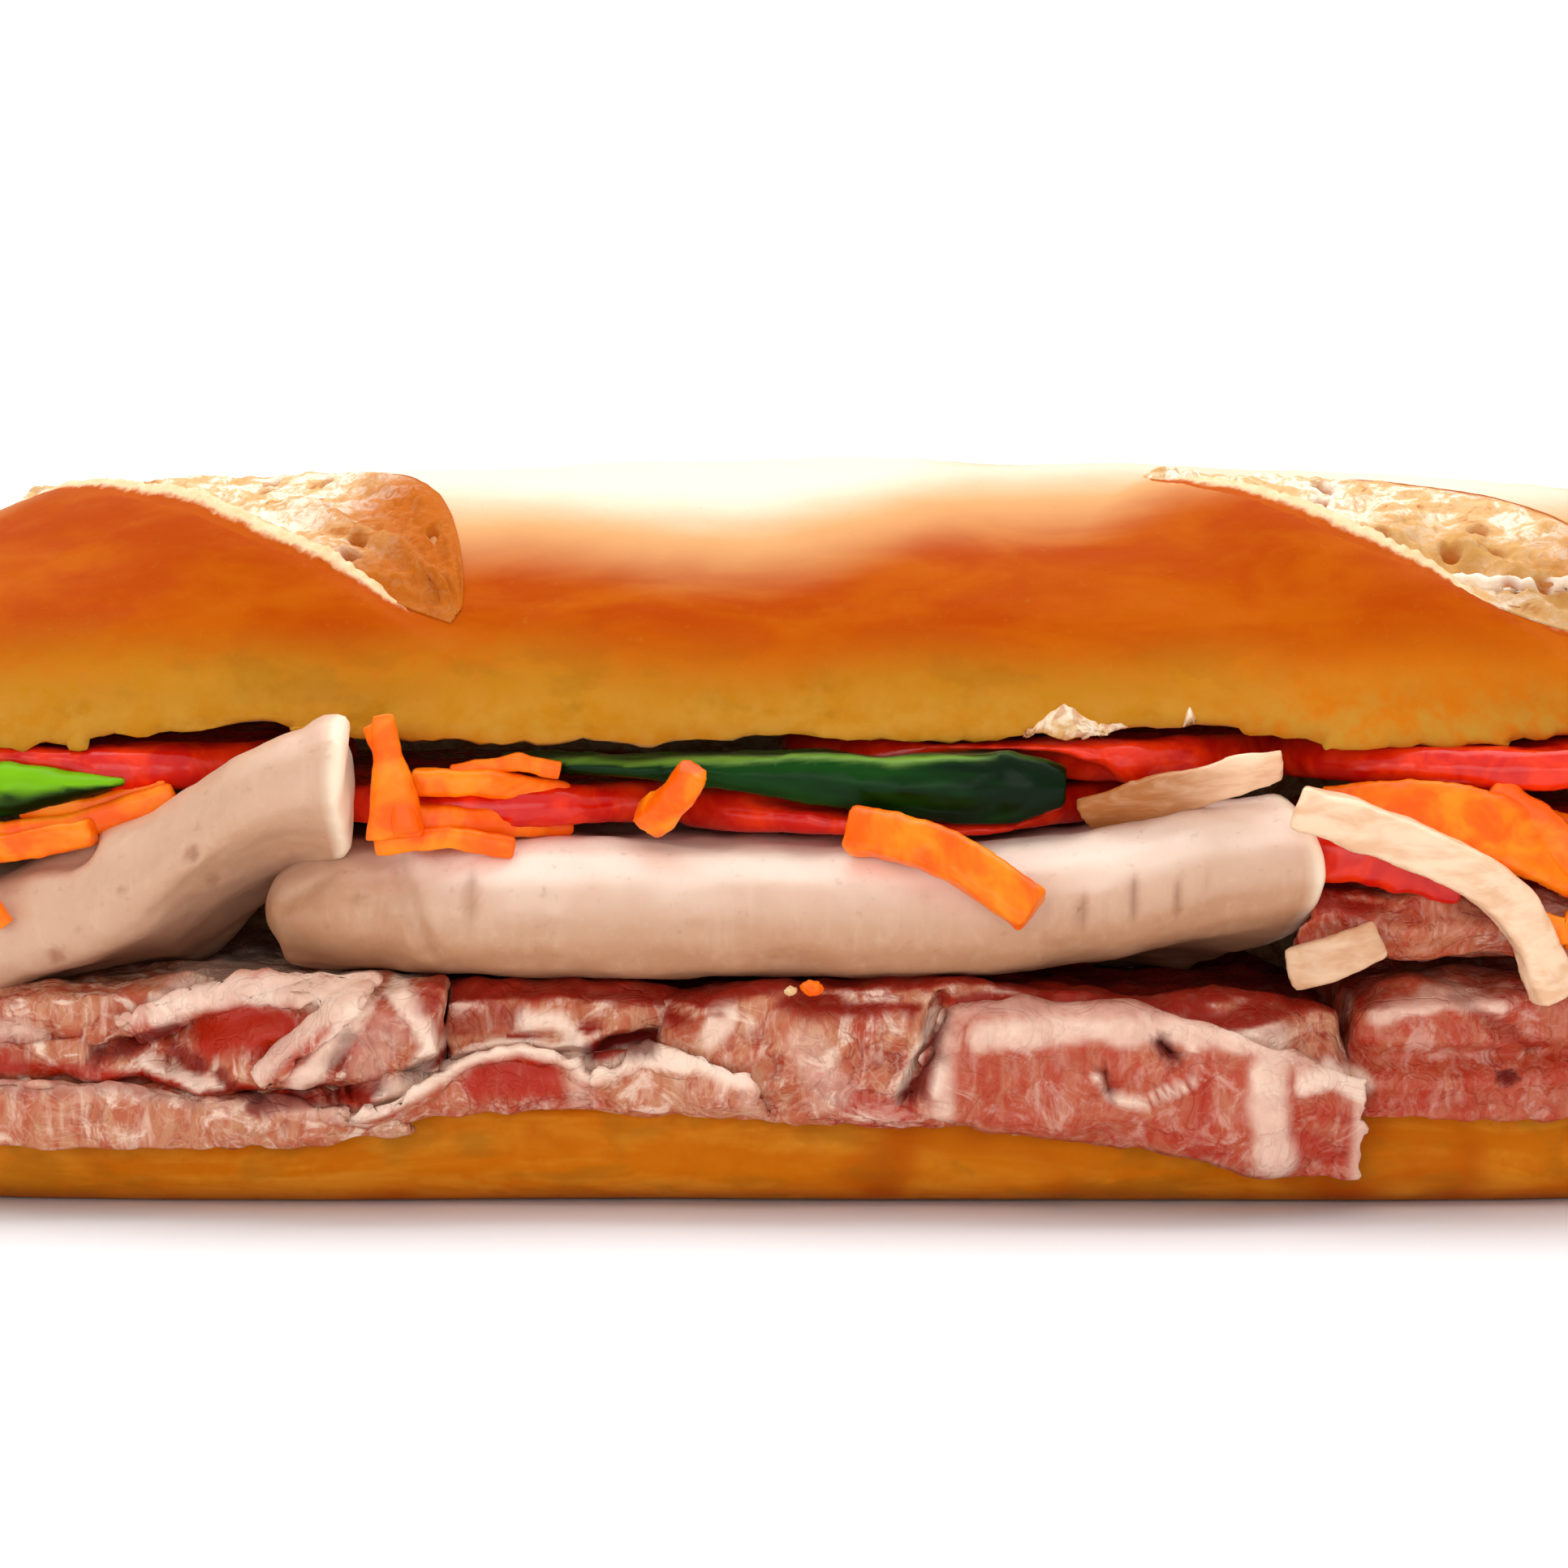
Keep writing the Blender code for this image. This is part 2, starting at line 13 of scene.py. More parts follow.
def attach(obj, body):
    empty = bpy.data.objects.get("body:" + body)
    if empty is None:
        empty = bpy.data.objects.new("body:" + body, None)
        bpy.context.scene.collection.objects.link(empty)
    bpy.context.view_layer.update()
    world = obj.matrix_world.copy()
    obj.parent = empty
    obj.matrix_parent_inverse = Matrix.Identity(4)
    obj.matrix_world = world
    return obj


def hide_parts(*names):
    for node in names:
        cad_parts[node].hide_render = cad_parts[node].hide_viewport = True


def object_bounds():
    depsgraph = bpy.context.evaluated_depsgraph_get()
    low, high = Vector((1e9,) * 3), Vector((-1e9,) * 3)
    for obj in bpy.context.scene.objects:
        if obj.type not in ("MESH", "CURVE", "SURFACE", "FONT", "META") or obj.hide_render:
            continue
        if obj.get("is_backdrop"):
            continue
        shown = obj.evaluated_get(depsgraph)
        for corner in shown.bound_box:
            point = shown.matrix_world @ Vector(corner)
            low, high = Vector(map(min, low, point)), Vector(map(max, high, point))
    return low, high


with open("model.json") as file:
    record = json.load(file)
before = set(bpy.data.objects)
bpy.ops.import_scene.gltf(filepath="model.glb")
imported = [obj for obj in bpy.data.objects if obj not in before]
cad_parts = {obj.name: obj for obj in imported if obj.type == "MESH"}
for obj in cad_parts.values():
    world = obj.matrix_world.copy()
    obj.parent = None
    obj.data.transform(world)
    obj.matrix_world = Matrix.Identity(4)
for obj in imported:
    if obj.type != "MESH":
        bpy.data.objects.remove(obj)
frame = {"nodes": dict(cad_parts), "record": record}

mm = 0.001
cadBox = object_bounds()
nodes = frame["nodes"]


def srgb(red, green, blue):
    # a colour from 0 to 255 a channel, made linear
    shares = [c / 255 for c in (red, green, blue)]
    return tuple(c / 12.92 if c < 0.0405 else ((c + 0.055) / 1.055) ** 2.4 for c in shares)


def ease(t, low=0.0, high=1.0):
    t = min(1.0, max(0.0, (t - low) / (high - low)))
    return t * t * (3 - 2 * t)


def between(x, table, straight=False):
    # a smooth or straight line through (place, value) pairs
    if x <= table[0][0]:
        return table[0][1]
    for (lowX, lowValue), (highX, highValue) in zip(table, table[1:]):
        if x <= highX:
            share = (x - lowX) / (highX - lowX) if straight else ease(x, lowX, highX)
            return lowValue + (highValue - lowValue) * share
    return table[-1][1]


def ripple(x, size, seed):
    # a wandering line between -1 and 1
    return noise.noise(Vector((x / size, seed * 7.31, 2.7)))


def grain(place, size, seed=0.0, layers=3):
    return noise.fractal(place / size + Vector((seed, 0, 0)), 1.0, 2.0, layers)


def pick(piece):
    bpy.ops.object.select_all(action="DESELECT")
    piece.select_set(True)
    bpy.context.view_layer.objects.active = piece


def modify(piece, kind, **settings):
    # adds a modifier, sets it and applies it
    pick(piece)
    step = piece.modifiers.new(kind.lower(), kind)
    for name, value in settings.items():
        setattr(step, name, value)
    bpy.ops.object.modifier_apply(modifier=step.name)


def weld(piece, outward=False):
    # merges points that meet and, if asked, turns every face outward
    pick(piece)
    bpy.ops.object.mode_set(mode="EDIT")
    bpy.ops.mesh.select_all(action="SELECT")
    bpy.ops.mesh.remove_doubles(threshold=1e-5)
    if outward:
        bpy.ops.mesh.normals_make_consistent(inside=False)
    bpy.ops.object.mode_set(mode="OBJECT")
    return piece


def closedCopy(nodeName, name):
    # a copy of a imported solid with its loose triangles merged
    pick(nodes[nodeName])
    bpy.ops.object.duplicate()
    piece = bpy.context.view_layer.objects.active
    piece.parent = None
    for key in list(piece.keys()):
        del piece[key]
    piece.name = piece.data.name = name
    piece.data.materials.clear()
    return weld(piece)


def fineCopy(nodeName, name, cell, smoothing):
    piece = closedCopy(nodeName, name)
    modify(piece, "REMESH", mode="VOXEL", voxel_size=cell)
    modify(piece, "SMOOTH", factor=0.5, iterations=smoothing)
    return piece


def sculpt(piece, push):
    # push(place, normal) gives how each point moves
    mesh = piece.data
    normals = [v.normal.copy() for v in mesh.vertices]
    places = [v.co.copy() for v in mesh.vertices]
    moved = []
    for place, normal in zip(places, normals):
        moved.extend(place + push(place, normal))
    mesh.vertices.foreach_set("co", moved)
    mesh.update()


def store(piece, name, values):
    # keeps one number for each point, which the materials read by its name
    layer = piece.data.attributes.new(name, "FLOAT", "POINT")
    layer.data.foreach_set("value", values)


def remember(piece, name, measure):
    store(piece, name, [measure(v.co, v.normal) for v in piece.data.vertices])


def sheet(name, columns, rows, place, thick=0.0, values=None):
    # a grid whose point (s, t), each 0 to 1, goes to place(s, t), then given a thickness
    bpy.ops.mesh.primitive_grid_add(x_subdivisions=columns, y_subdivisions=rows, size=1)
    piece = bpy.context.view_layer.objects.active
    piece.name = piece.data.name = name
    shares = [(v.co.x + 0.5, v.co.y + 0.5) for v in piece.data.vertices]
    moved = []
    for s, t in shares:
        moved.extend(place(s, t))
    piece.data.vertices.foreach_set("co", moved)
    for key, measure in (values or {}).items():
        store(piece, key, [measure(s, t) for s, t in shares])
    piece.data.update()
    if thick:
        modify(piece, "SOLIDIFY", thickness=thick, offset=-1)
    return piece


def strand(name, path, wide, thick, seed=0, columns=56, rows=14):
    # a shred along a path of (x, y, z) in mm, closed at both ends
    points = [Vector(point) * mm for point in path]

    def along(share):
        run = min(max(share, 0.0) * (len(points) - 1), len(points) - 1.001)
        k = int(run)
        part = ease(run - k) * 0.5 + (run - k) * 0.5
        return points[k].lerp(points[k + 1], part)

    def place(s, t):
        middle = along(s)
        ahead = (along(min(1, s + 0.02)) - along(max(0, s - 0.02))).normalized()
        side = ahead.cross(Vector((0, -1, 0))).normalized()
        out = side.cross(ahead)
        blunt = min(1.0, min(s, 1 - s) / 0.035)
        size = math.sqrt(max(0.0, 1 - (1 - blunt) ** 2)) * (1 + 0.14 * ripple(s, 0.17, seed))
        turn = 2 * math.pi * t
        across = math.copysign(abs(math.cos(turn)) ** 0.6, math.cos(turn)) * wide / 2 * size
        through = math.copysign(abs(math.sin(turn)) ** 0.6, math.sin(turn)) * thick / 2 * size
        rough = 1 + 0.12 * grain(middle + side * across, 1.8 * mm, seed)
        return middle + side * across * rough + out * through * rough

    return weld(sheet(name, columns, rows, place), outward=True)


def treeOf(piece):
    mesh = bmesh.new()
    mesh.from_mesh(piece.data)
    tree = BVHTree.FromBMesh(mesh)
    mesh.free()
    return tree


def settle(piece, material, slot, *replaced):
    # material, smooth shading and body; slot is not used
    piece.data.materials.clear()
    piece.data.materials.append(material)
    piece.data.shade_smooth()
    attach(piece, "root")
    if replaced:
        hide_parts(*replaced)
    return piece


class Wire:
    # one socket of a material, so that shader maths is written as plain arithmetic
    def __init__(self, tree, socket=None):
        self.tree = tree
        self.socket = socket

    def node(self, kind, settings, inputs, out=0):
        made = self.tree.nodes.new("ShaderNode" + kind)
        for name, value in settings.items():
            setattr(made, name, value)
        for name, value in inputs.items():
            if isinstance(value, Wire):
                self.tree.links.new(value.socket, made.inputs[name])
            else:
                made.inputs[name].default_value = value
        return Wire(self.tree, made.outputs[out])

    def maths(self, operation, *others):
        inputs = {k: value for k, value in enumerate((self,) + others)}
        return self.node("Math", {"operation": operation}, inputs)

    def __add__(self, other):
        return self.maths("ADD", other)

    def __sub__(self, other):
        return self.maths("SUBTRACT", other)

    def __rsub__(self, other):
        return self.node("Math", {"operation": "SUBTRACT"}, {0: other, 1: self})

    def __mul__(self, other):
        return self.maths("MULTIPLY", other)

    __radd__, __rmul__ = __add__, __mul__

    def between(self, low, high, start=0.0, end=1.0):
        # start below low, end above high, and a smooth change between
        inputs = {0: self, 1: low, 2: high, 3: start, 4: end}
        return self.node("MapRange", {"interpolation_type": "SMOOTHSTEP"}, inputs)

    def mix(self, first, second):
        # this value chooses between two colours
        colours = {6: first, 7: second}
        colours = {k: (*c, 1) if isinstance(c, tuple) else c for k, c in colours.items()}
        return self.node("Mix", {"data_type": "RGBA"}, {0: self, **colours}, 2)


class Finish:
    # a Principled material whose nodes are added one call at a time
    def __init__(self, name, roughness, radius=None, **constants):
        self.material = bpy.data.materials.new(name)
        self.material.use_nodes = True
        self.tree = self.material.node_tree
        self.shader = self.tree.nodes["Principled BSDF"]
        self.shader.inputs["Roughness"].default_value = roughness
        if radius:
            self.shader.inputs["Subsurface Radius"].default_value = radius
        for socket, value in constants.items():
            self.shader.inputs[socket.replace("_", " ")].default_value = value
        self.wire = Wire(self.tree)
        self.place = self.wire.node("TexCoord", {}, {}, "Object")

    def stretched(self, x, y, z, turn=0.0):
        inputs = {"Vector": self.place, "Scale": (x, y, z), "Rotation": (0, math.radians(turn), 0)}
        return self.wire.node("Mapping", {}, inputs)

    def noise(self, size, detail=3, roughness=0.55, distortion=0.0, place=None):
        # size is that of one blotch, in metres
        inputs = {"Vector": place or self.place, "Scale": 1 / size, "Detail": detail, "Roughness": roughness,
                  "Distortion": distortion}
        return self.wire.node("TexNoise", {}, inputs)

    def cells(self, size):
        return self.wire.node("TexVoronoi", {}, {"Vector": self.place, "Scale": 1 / size}, "Distance")

    def stored(self, name):
        return self.wire.node("Attribute", {"attribute_name": name}, {}, "Fac")

    def along(self, axis):
        return self.wire.node("SeparateXYZ", {}, {0: self.place}, axis)

    def feed(self, socket, value):
        self.tree.links.new(value.socket, self.shader.inputs[socket])

    def bump(self, height, strength, distance):
        made = self.wire.node("Bump", {}, {"Strength": strength, "Distance": distance, "Height": height})
        self.feed("Normal", made)


loaf = {"cell": 1.0 * mm, "smoothing": 2, "dimples": 17 * mm, "dimpleHeight": 0.8 * mm,
        "lipRagged": 0.7 * mm, "earWidth": 13 * mm, "earRise": 2.2 * mm,
        "middle": 4.5 * mm, "half": 37.5 * mm, "shoulder": 40, "crown": 25, "roundness": (2.15, 0.465),
        "top": 47 * mm, "fade": [(-128, 58), (-60, 59.5), (-31, 58), (-8, 56.4), (14, 60.8), (30, 61.2),
                                 (60, 58.5), (128, 57)]}
scores = (
    {"x": -56.2 * mm, "y": -11.3 * mm, "length": 56 * mm, "turn": -37, "front": 3 * mm, "back": 18 * mm,
     "bright": 1.0, "shadow": 0.8},
    {"x": 51 * mm, "y": -16.7 * mm, "length": 52 * mm, "turn": -27.5, "front": 5 * mm, "back": 14 * mm,
     "bright": 0.0, "shadow": 0.4},
)


def crustFinish():
    tones = {"deep": srgb(176, 66, 0), "warm": srgb(192, 94, 2), "ochre": srgb(184, 118, 22),
             "lip": srgb(188, 132, 44), "olive": srgb(150, 98, 20), "glow": srgb(206, 108, 12),
             "peachHighlight": srgb(222, 164, 108), "crownHighlight": srgb(245, 227, 205),
             "base": srgb(200, 108, 10), "streak": srgb(214, 134, 34), "low": srgb(176, 76, 4),
             "crumb": srgb(240, 210, 166), "toast": srgb(214, 150, 82)}
    f = Finish("crust", 0.6, Specular_IOR_Level=0.02)
    broad = f.noise(24 * mm, 2)
    streaks = f.noise(7 * mm, 3, 0.6, 0.4, f.stretched(0.5, 1.0, 1.3))
    mottle = f.noise(2.6 * mm, 4, 0.62)
    fine = f.noise(0.8 * mm, 3, 0.6)
    # crown: where the painted highlight on the top of the loaf falls, less in front of the ears
    crown = f.stored("crown") + (broad - 0.5) * 0.3 + (streaks - 0.5) * 0.15
    behind = f.along("Y").between(-14 * mm, 10 * mm)
    height = f.along("Z") + (broad - 0.5) * 6 * mm + (streaks - 0.5) * 3 * mm + behind * 16 * mm
    under = f.noise(5 * mm, 3, 0.6, 0.5, f.stretched(0.3, 1.0, 1.4)).between(0.42, 0.7)
    below = under.mix(tones["base"], tones["streak"])
    below = f.noise(16 * mm, 2).between(0.5, 0.7).mix(below, tones["low"])
    band = f.along("Z").between(23 * mm, 30 * mm) * (1 - behind * 0.75)
    colour = band.mix(below, tones["ochre"])
    colour = (mottle.between(0.4, 0.7) * streaks.between(0.35, 0.6) * 0.6).mix(colour, tones["warm"])
    olive = f.noise(5 * mm, 3, 0.6, 0.3, f.stretched(0.6, 1.0, 1.2)).between(0.5, 0.65)
    colour = (olive * 0.4).mix(colour, tones["olive"])
    warmed = f.along("X").between(22 * mm, 46 * mm) * band * (0.35 + streaks * 0.8)
    colour = warmed.mix(colour, tones["glow"])
    brown = (streaks.between(0.35, 0.7) * 0.7).mix(tones["deep"], tones["warm"])
    colour = height.between(45 * mm, 52 * mm).mix(colour, brown)
    # painted highlight on the crown: peach, then near-white towards the top
    colour = crown.between(-0.3, 0.4).mix(colour, tones["peachHighlight"])
    colour = crown.between(0.25, 0.8).mix(colour, tones["crownHighlight"])
    nearLip = f.stored("lip") * mottle.between(0.3, 0.65)
    colour = nearLip.mix(colour, tones["lip"])
    colour = (fine.between(0.58, 0.85) * 0.2).mix(colour, tones["lip"])
    inner = f.noise(1.6 * mm, 4, 0.65).between(0.4, 0.7).mix(tones["crumb"], tones["toast"])
    colour = f.stored("crumb").mix(colour, inner)
    f.feed("Base Color", colour)
    f.feed("Roughness", f.stored("crumb") * 0.35 + (mottle - 0.5) * 0.2 + 0.48)
    relief = fine * 0.4 + mottle + f.stored("crumb") * f.cells(1.3 * mm) * 2.0
    f.bump(relief, 0.35, 0.3 * mm)
    return f.material


def tornFinish():
    tones = {"light": srgb(255, 244, 222), "cream": srgb(222, 172, 108), "hole": srgb(184, 98, 26),
             "shade": srgb(180, 122, 46), "edge": srgb(160, 78, 14), "crust": srgb(188, 96, 10)}
    f = Finish("tornCrumb", 0.75, Specular_IOR_Level=0.1)
    fibres = f.noise(1.2 * mm, 4, 0.65, 1.2)
    flow = f.noise(4 * mm, 4, 0.6, 1.0, f.stretched(0.6, 1.0, 1.5))
    colour = fibres.between(0.4, 0.7).mix(tones["light"], tones["cream"])
    colour = (flow.between(0.46, 0.56) * 0.85).mix(colour, tones["cream"])
    # streaks of the hole tone: painted shade of pores
    colour = (flow.between(0.6, 0.68) * 0.85).mix(colour, tones["hole"])
    shade = f.noise(2.2 * mm, 3, 0.6).mix(tones["shade"], tones["cream"])
    colour = (f.stored("shade") * (0.45 + f.noise(3 * mm))).mix(colour, shade)
    # ridge: painted highlight on raised folds
    colour = f.stored("ridge").mix(colour, tones["light"])
    # pit: painted shade in the pores and gaps
    colour = f.stored("pit").mix(colour, tones["hole"])
    # edge: brown crust along the far side, darkened with painted shade
    colour = f.stored("edge").mix(colour, tones["edge"])
    colour = (f.stored("blend") * (0.6 + fibres * 0.8)).mix(colour, tones["crust"])
    f.feed("Base Color", colour)
    f.bump(fibres - f.stored("pit"), 0.5, 0.35 * mm)
    return f.material


def earFinish():
    f = Finish("crispEdge", 0.6, Specular_IOR_Level=0.05)
    fibres = f.noise(1.0 * mm, 3, 0.6)
    edge = (f.stored("edge") + (fibres - 0.5) * 0.3).between(0.66, 0.86)
    body = f.noise(7 * mm, 3, 0.6).mix(srgb(174, 64, 0), srgb(196, 92, 2))
    pale = fibres.mix(srgb(255, 232, 196), srgb(236, 180, 116))
    f.feed("Base Color", edge.mix(body, pale))
    f.bump(fibres, 0.3, 0.3 * mm)
    return f.material


def scoreShape(along):
    # how wide a score has opened, from 0 at its ends to 1
    return math.cos(math.pi * min(0.5, abs(along))) ** 0.8 + 0.02


def scorePlace(score, x, y):
    # how far along (a share of the length) and across (metres) a score (x, y) lies
    turn = math.radians(score["turn"])
    dx, dy = x - score["x"], y - score["y"]
    along = (dx * math.cos(turn) + dy * math.sin(turn)) / score["length"]
    return along, dy * math.cos(turn) - dx * math.sin(turn)


def scorePoint(score, along, across):
    # back from along (share of the length) and across (metres) to x and y
    turn = math.radians(score["turn"])
    a = along * score["length"]
    x = score["x"] + a * math.cos(turn) - across * math.sin(turn)
    return x, score["y"] + a * math.sin(turn) + across * math.cos(turn)


def onCrust(tree, x, y):
    # the crust under (x, y), looked for at a slant where the side of the loaf turns under
    side = (y - loaf["middle"]) / loaf["half"]
    height = max(0.0, 1 - abs(side) ** loaf["roundness"][0]) ** loaf["roundness"][1]
    guess = Vector((x, y, (loaf["shoulder"] + loaf["crown"] * height) * mm))
    slant = ease(abs(side), 0.55, 1.0) * 1.2
    away = Vector((0, math.copysign(math.sin(slant), side), math.cos(slant)))
    spot = tree.ray_cast(guess + away * 40 * mm, -away)[0]
    return (spot or tree.find_nearest(guess)[0]).copy()


def hullOf(nodeName):
    # the skin of a solid as if stretched round it, which bridges its hollows
    hull = bmesh.new()
    hull.from_mesh(nodes[nodeName].data)
    found = bmesh.ops.convex_hull(hull, input=hull.verts)
    spare = found["geom_interior"] + found["geom_unused"]
    spare = [item for item in spare if isinstance(item, bmesh.types.BMVert)]
    bmesh.ops.delete(hull, geom=spare, context="VERTS")
    tree = BVHTree.FromBMesh(hull)
    hull.free()
    return tree


def makeLoaf():
    bread = fineCopy("baguette", "loafCrust", loaf["cell"], loaf["smoothing"])
    upper = bread.vertex_groups.new(name="upper")
    for v in bread.data.vertices:
        if v.co.z > loaf["top"]:
            upper.add([v.index], ease(v.co.z - loaf["top"], 0, 4 * mm), "REPLACE")
    modify(bread, "SMOOTH", factor=0.5, iterations=14, vertex_group="upper")
    bread.vertex_groups.clear()
    hull = hullOf("baguette")

    def sunk(place):
        return hull.find_nearest(place)[3]

    def crumb(place, normal):
        inMouth = ease(sunk(place), 1.0 * mm, 2.2 * mm) * (place.z < loaf["top"])
        return inMouth * (1 - ease(place.y, 28 * mm, 32 * mm))

    def ear(place, width=loaf["earWidth"], shadow=False):
        # how near, from the front, the crust is to a torn edge
        best = 0.0
        for score in scores:
            along, across = scorePlace(score, place.x, place.y)
            edge = -score["front"] * scoreShape(along)
            if abs(along) < 0.5 and across < edge + 3 * mm:
                near = (1 - ease(edge - across, 0, width)) * (1 - ease(across - edge, 0.4 * mm, 3 * mm))
                scale = score["shadow"] if shadow else near
                best = max(best, near * scale * math.cos(math.pi * along) ** 0.7)
        return best

    def lip(place):
        return ease(place.z, 37 * mm, 40 * mm) * (1 - ease(place.z, 42 * mm, 49 * mm)) * (place.y < -18 * mm)

    remember(bread, "crumb", crumb)
    inner = iter([value.value for value in bread.data.attributes["crumb"].data])
    lean = Vector((0, -0.45, 0.9))

    def push(place, normal):
        soft = 1 - next(inner)
        above = ease(place.z, 0.5 * mm, 3 * mm)
        dimple = noise.noise(place / loaf["dimples"]) * loaf["dimpleHeight"] * soft
        rough = grain(place, 3 * mm) * 0.14 * mm
        move = normal * ((dimple + rough) * above)
        edge = (1 - ease(abs(place.z - 40.5 * mm), 0.5 * mm, 3.5 * mm)) * (place.y < -20 * mm)
        move.z += grain(place, 2.6 * mm, 9) * loaf["lipRagged"] * edge
        if place.z > 45 * mm:
            move += lean * (ear(place) * loaf["earRise"])
        if place.z < 9 * mm:
            outer = place.y - 4.3 * mm
            full = ease(abs(outer), 16 * mm, 26 * mm) * (1 - ease(place.z, 1 * mm, 9 * mm))
            move.y += math.copysign(4.2 * mm, outer) * full
        return move

    sculpt(bread, push)

    def crownAt(place, normal):
        # how far, in centimetres, the crust is above the line where the painted highlight on the crown
        # starts, less in front of a score's ear as painted shadow
        near = ear(place, 26 * mm, True) if place.z > 45 * mm else 0
        rise = place.z / mm + 0.1 * min(31, place.y / mm + 31) - 0.16 * max(0, place.y / mm)
        return (rise - between(place.x / mm, loaf["fade"])) / 10 - near * 1.5

    remember(bread, "crown", crownAt)
    remember(bread, "lip", lambda place, normal: lip(place))
    settle(bread, crust, "crust", "baguette")
    return bread


def makeTornScore(score, number, bread):
    # the crumb that shows where the crust burst open
    pores = random.Random(40 + number)
    dusk = 1 - score["bright"]
    melt = 0.5 + 0.14 * dusk
    holes = []
    for _ in range(17):
        holes.append((pores.uniform(-0.3, 0.34), pores.uniform(0.15, 0.85), pores.uniform(0.5, 1.1) * mm))

    def measure(s, t):
        along = (s - 0.5) * 0.985
        shape = scoreShape(along)
        return along, shape * (t * (score["front"] + score["back"]) - score["front"]), shape

    def pit(s, t):
        along, across, shape = measure(s, t)
        deep = 0.0
        for holeAlong, holeShare, radius in holes:
            gap = math.hypot((along - holeAlong) * score["length"] * 0.75, (t - holeShare) * 20 * mm * shape)
            deep = max(deep, 1 - ease(gap / radius, 0.35, 1.0))
        return deep

    def wave(s, t):
        # a fold low down near the front edge, raised, with a painted highlight
        if score["bright"]:
            return 0.0
        crest = 0.16 + 0.22 * ease(s, 0.66, 0.8) - 0.12 * ease(s, 0.78, 0.9) + 0.03 * ripple(s, 0.05, 2)
        return (1 - ease(abs(t - crest), 0.01, 0.07)) * ease(s, 0.5, 0.62)

    def place(s, t):
        along, across, shape = measure(s, t)
        spot = onCrust(bread, *scorePoint(score, along, across))
        inside = ease(t, 0, 0.16) * ease(1 - t, 0, 0.16) * ease(0.5 - abs(along), 0, 0.06)
        folds = grain(Vector((along * 46, t * 7, number)), 4.0, 3) * 1.1 * mm * ease(1 - t, 0, 0.3)
        rough = grain(spot, 1.4 * mm, number) * 0.45 * mm
        crest = t - 0.42 - 0.22 * ripple(along, 0.16, number)
        ridge = (1 - ease(abs(crest), 0.0, 0.13)) * 1.2 * mm + wave(s, t) * 1.0 * mm
        up = 0.15 * mm + (0.8 * mm + folds + rough + ridge - pit(s, t) * 1.3 * mm) * inside
        return spot + Vector((0, -0.3, 0.95)) * max(up, -0.4 * mm)

    values = {
        # pit: painted shade in the pores
        "pit": pit,
        "shade": lambda s, t: max(ease(s, 0.6, 0.9), dusk * ease(s, 0.3, 0.55) * ease(t, 0.05, 0.2)
                                  * (1 - ease(t, 0.6, 0.8))),
        # ridge: painted highlight on the fold
        "ridge": wave,
        # edge: the far side's crust edge, darkened with painted shade
        "edge": lambda s, t: ease(t, 0.955, 0.985) * ease(s, 0.1, 0.4) * (1 - ease(s, 0.7, 0.85)),
        "blend": lambda s, t: max(ease(s, melt, melt + 0.24) * ease(t, 0.1, 0.75), 0.5 * ease(t, 0.86, 1.0),
                                  0.9 * ease(s, melt + 0.16, melt + 0.36)),
    }
    crumb = sheet(f"tornCrumb{number}", 170, 60, place, 1.2 * mm, values)
    settle(crumb, torn, "crust")


def makeEar(score, number, bread):
    # the thin crisp edge of the crust along the front of a score
    def place(s, t):
        along = (s - 0.5) * 0.97
        edge = -score["front"] * scoreShape(along)
        strength = math.cos(math.pi * along) ** 0.5
        ragged = ripple(s, 0.09, number) * 0.4 + ripple(s, 0.02, number + 3) * 0.12
        across = edge - 3.2 * mm * (1 - t) + (0.9 + ragged) * mm * t
        near = min(across, edge - 0.8 * mm)
        spot = onCrust(bread, *scorePoint(score, along, near))
        if across > near:
            behind = onCrust(bread, *scorePoint(score, along, near - 1.5 * mm))
            spot += (spot - behind) / (1.5 * mm) * (across - near)
        lift = (0.1 + 0.45 * t * t) * mm
        return spot + Vector((0, -0.45, 0.85)) * (lift * strength - 0.4 * mm * (1 - t))

    values = {"edge": lambda s, t: t * ease(0.5 - abs(s - 0.5), 0, 0.05)}
    settle(sheet(f"ear{number}", 150, 12, place, 0.4 * mm, values), crispEar, "crust")


crust = crustFinish()
torn = tornFinish()
crispEar = earFinish()
bread = makeLoaf()
breadTree = treeOf(bread)
for number, score in enumerate(scores):
    makeTornScore(score, number, breadTree)
    makeEar(score, number, breadTree)


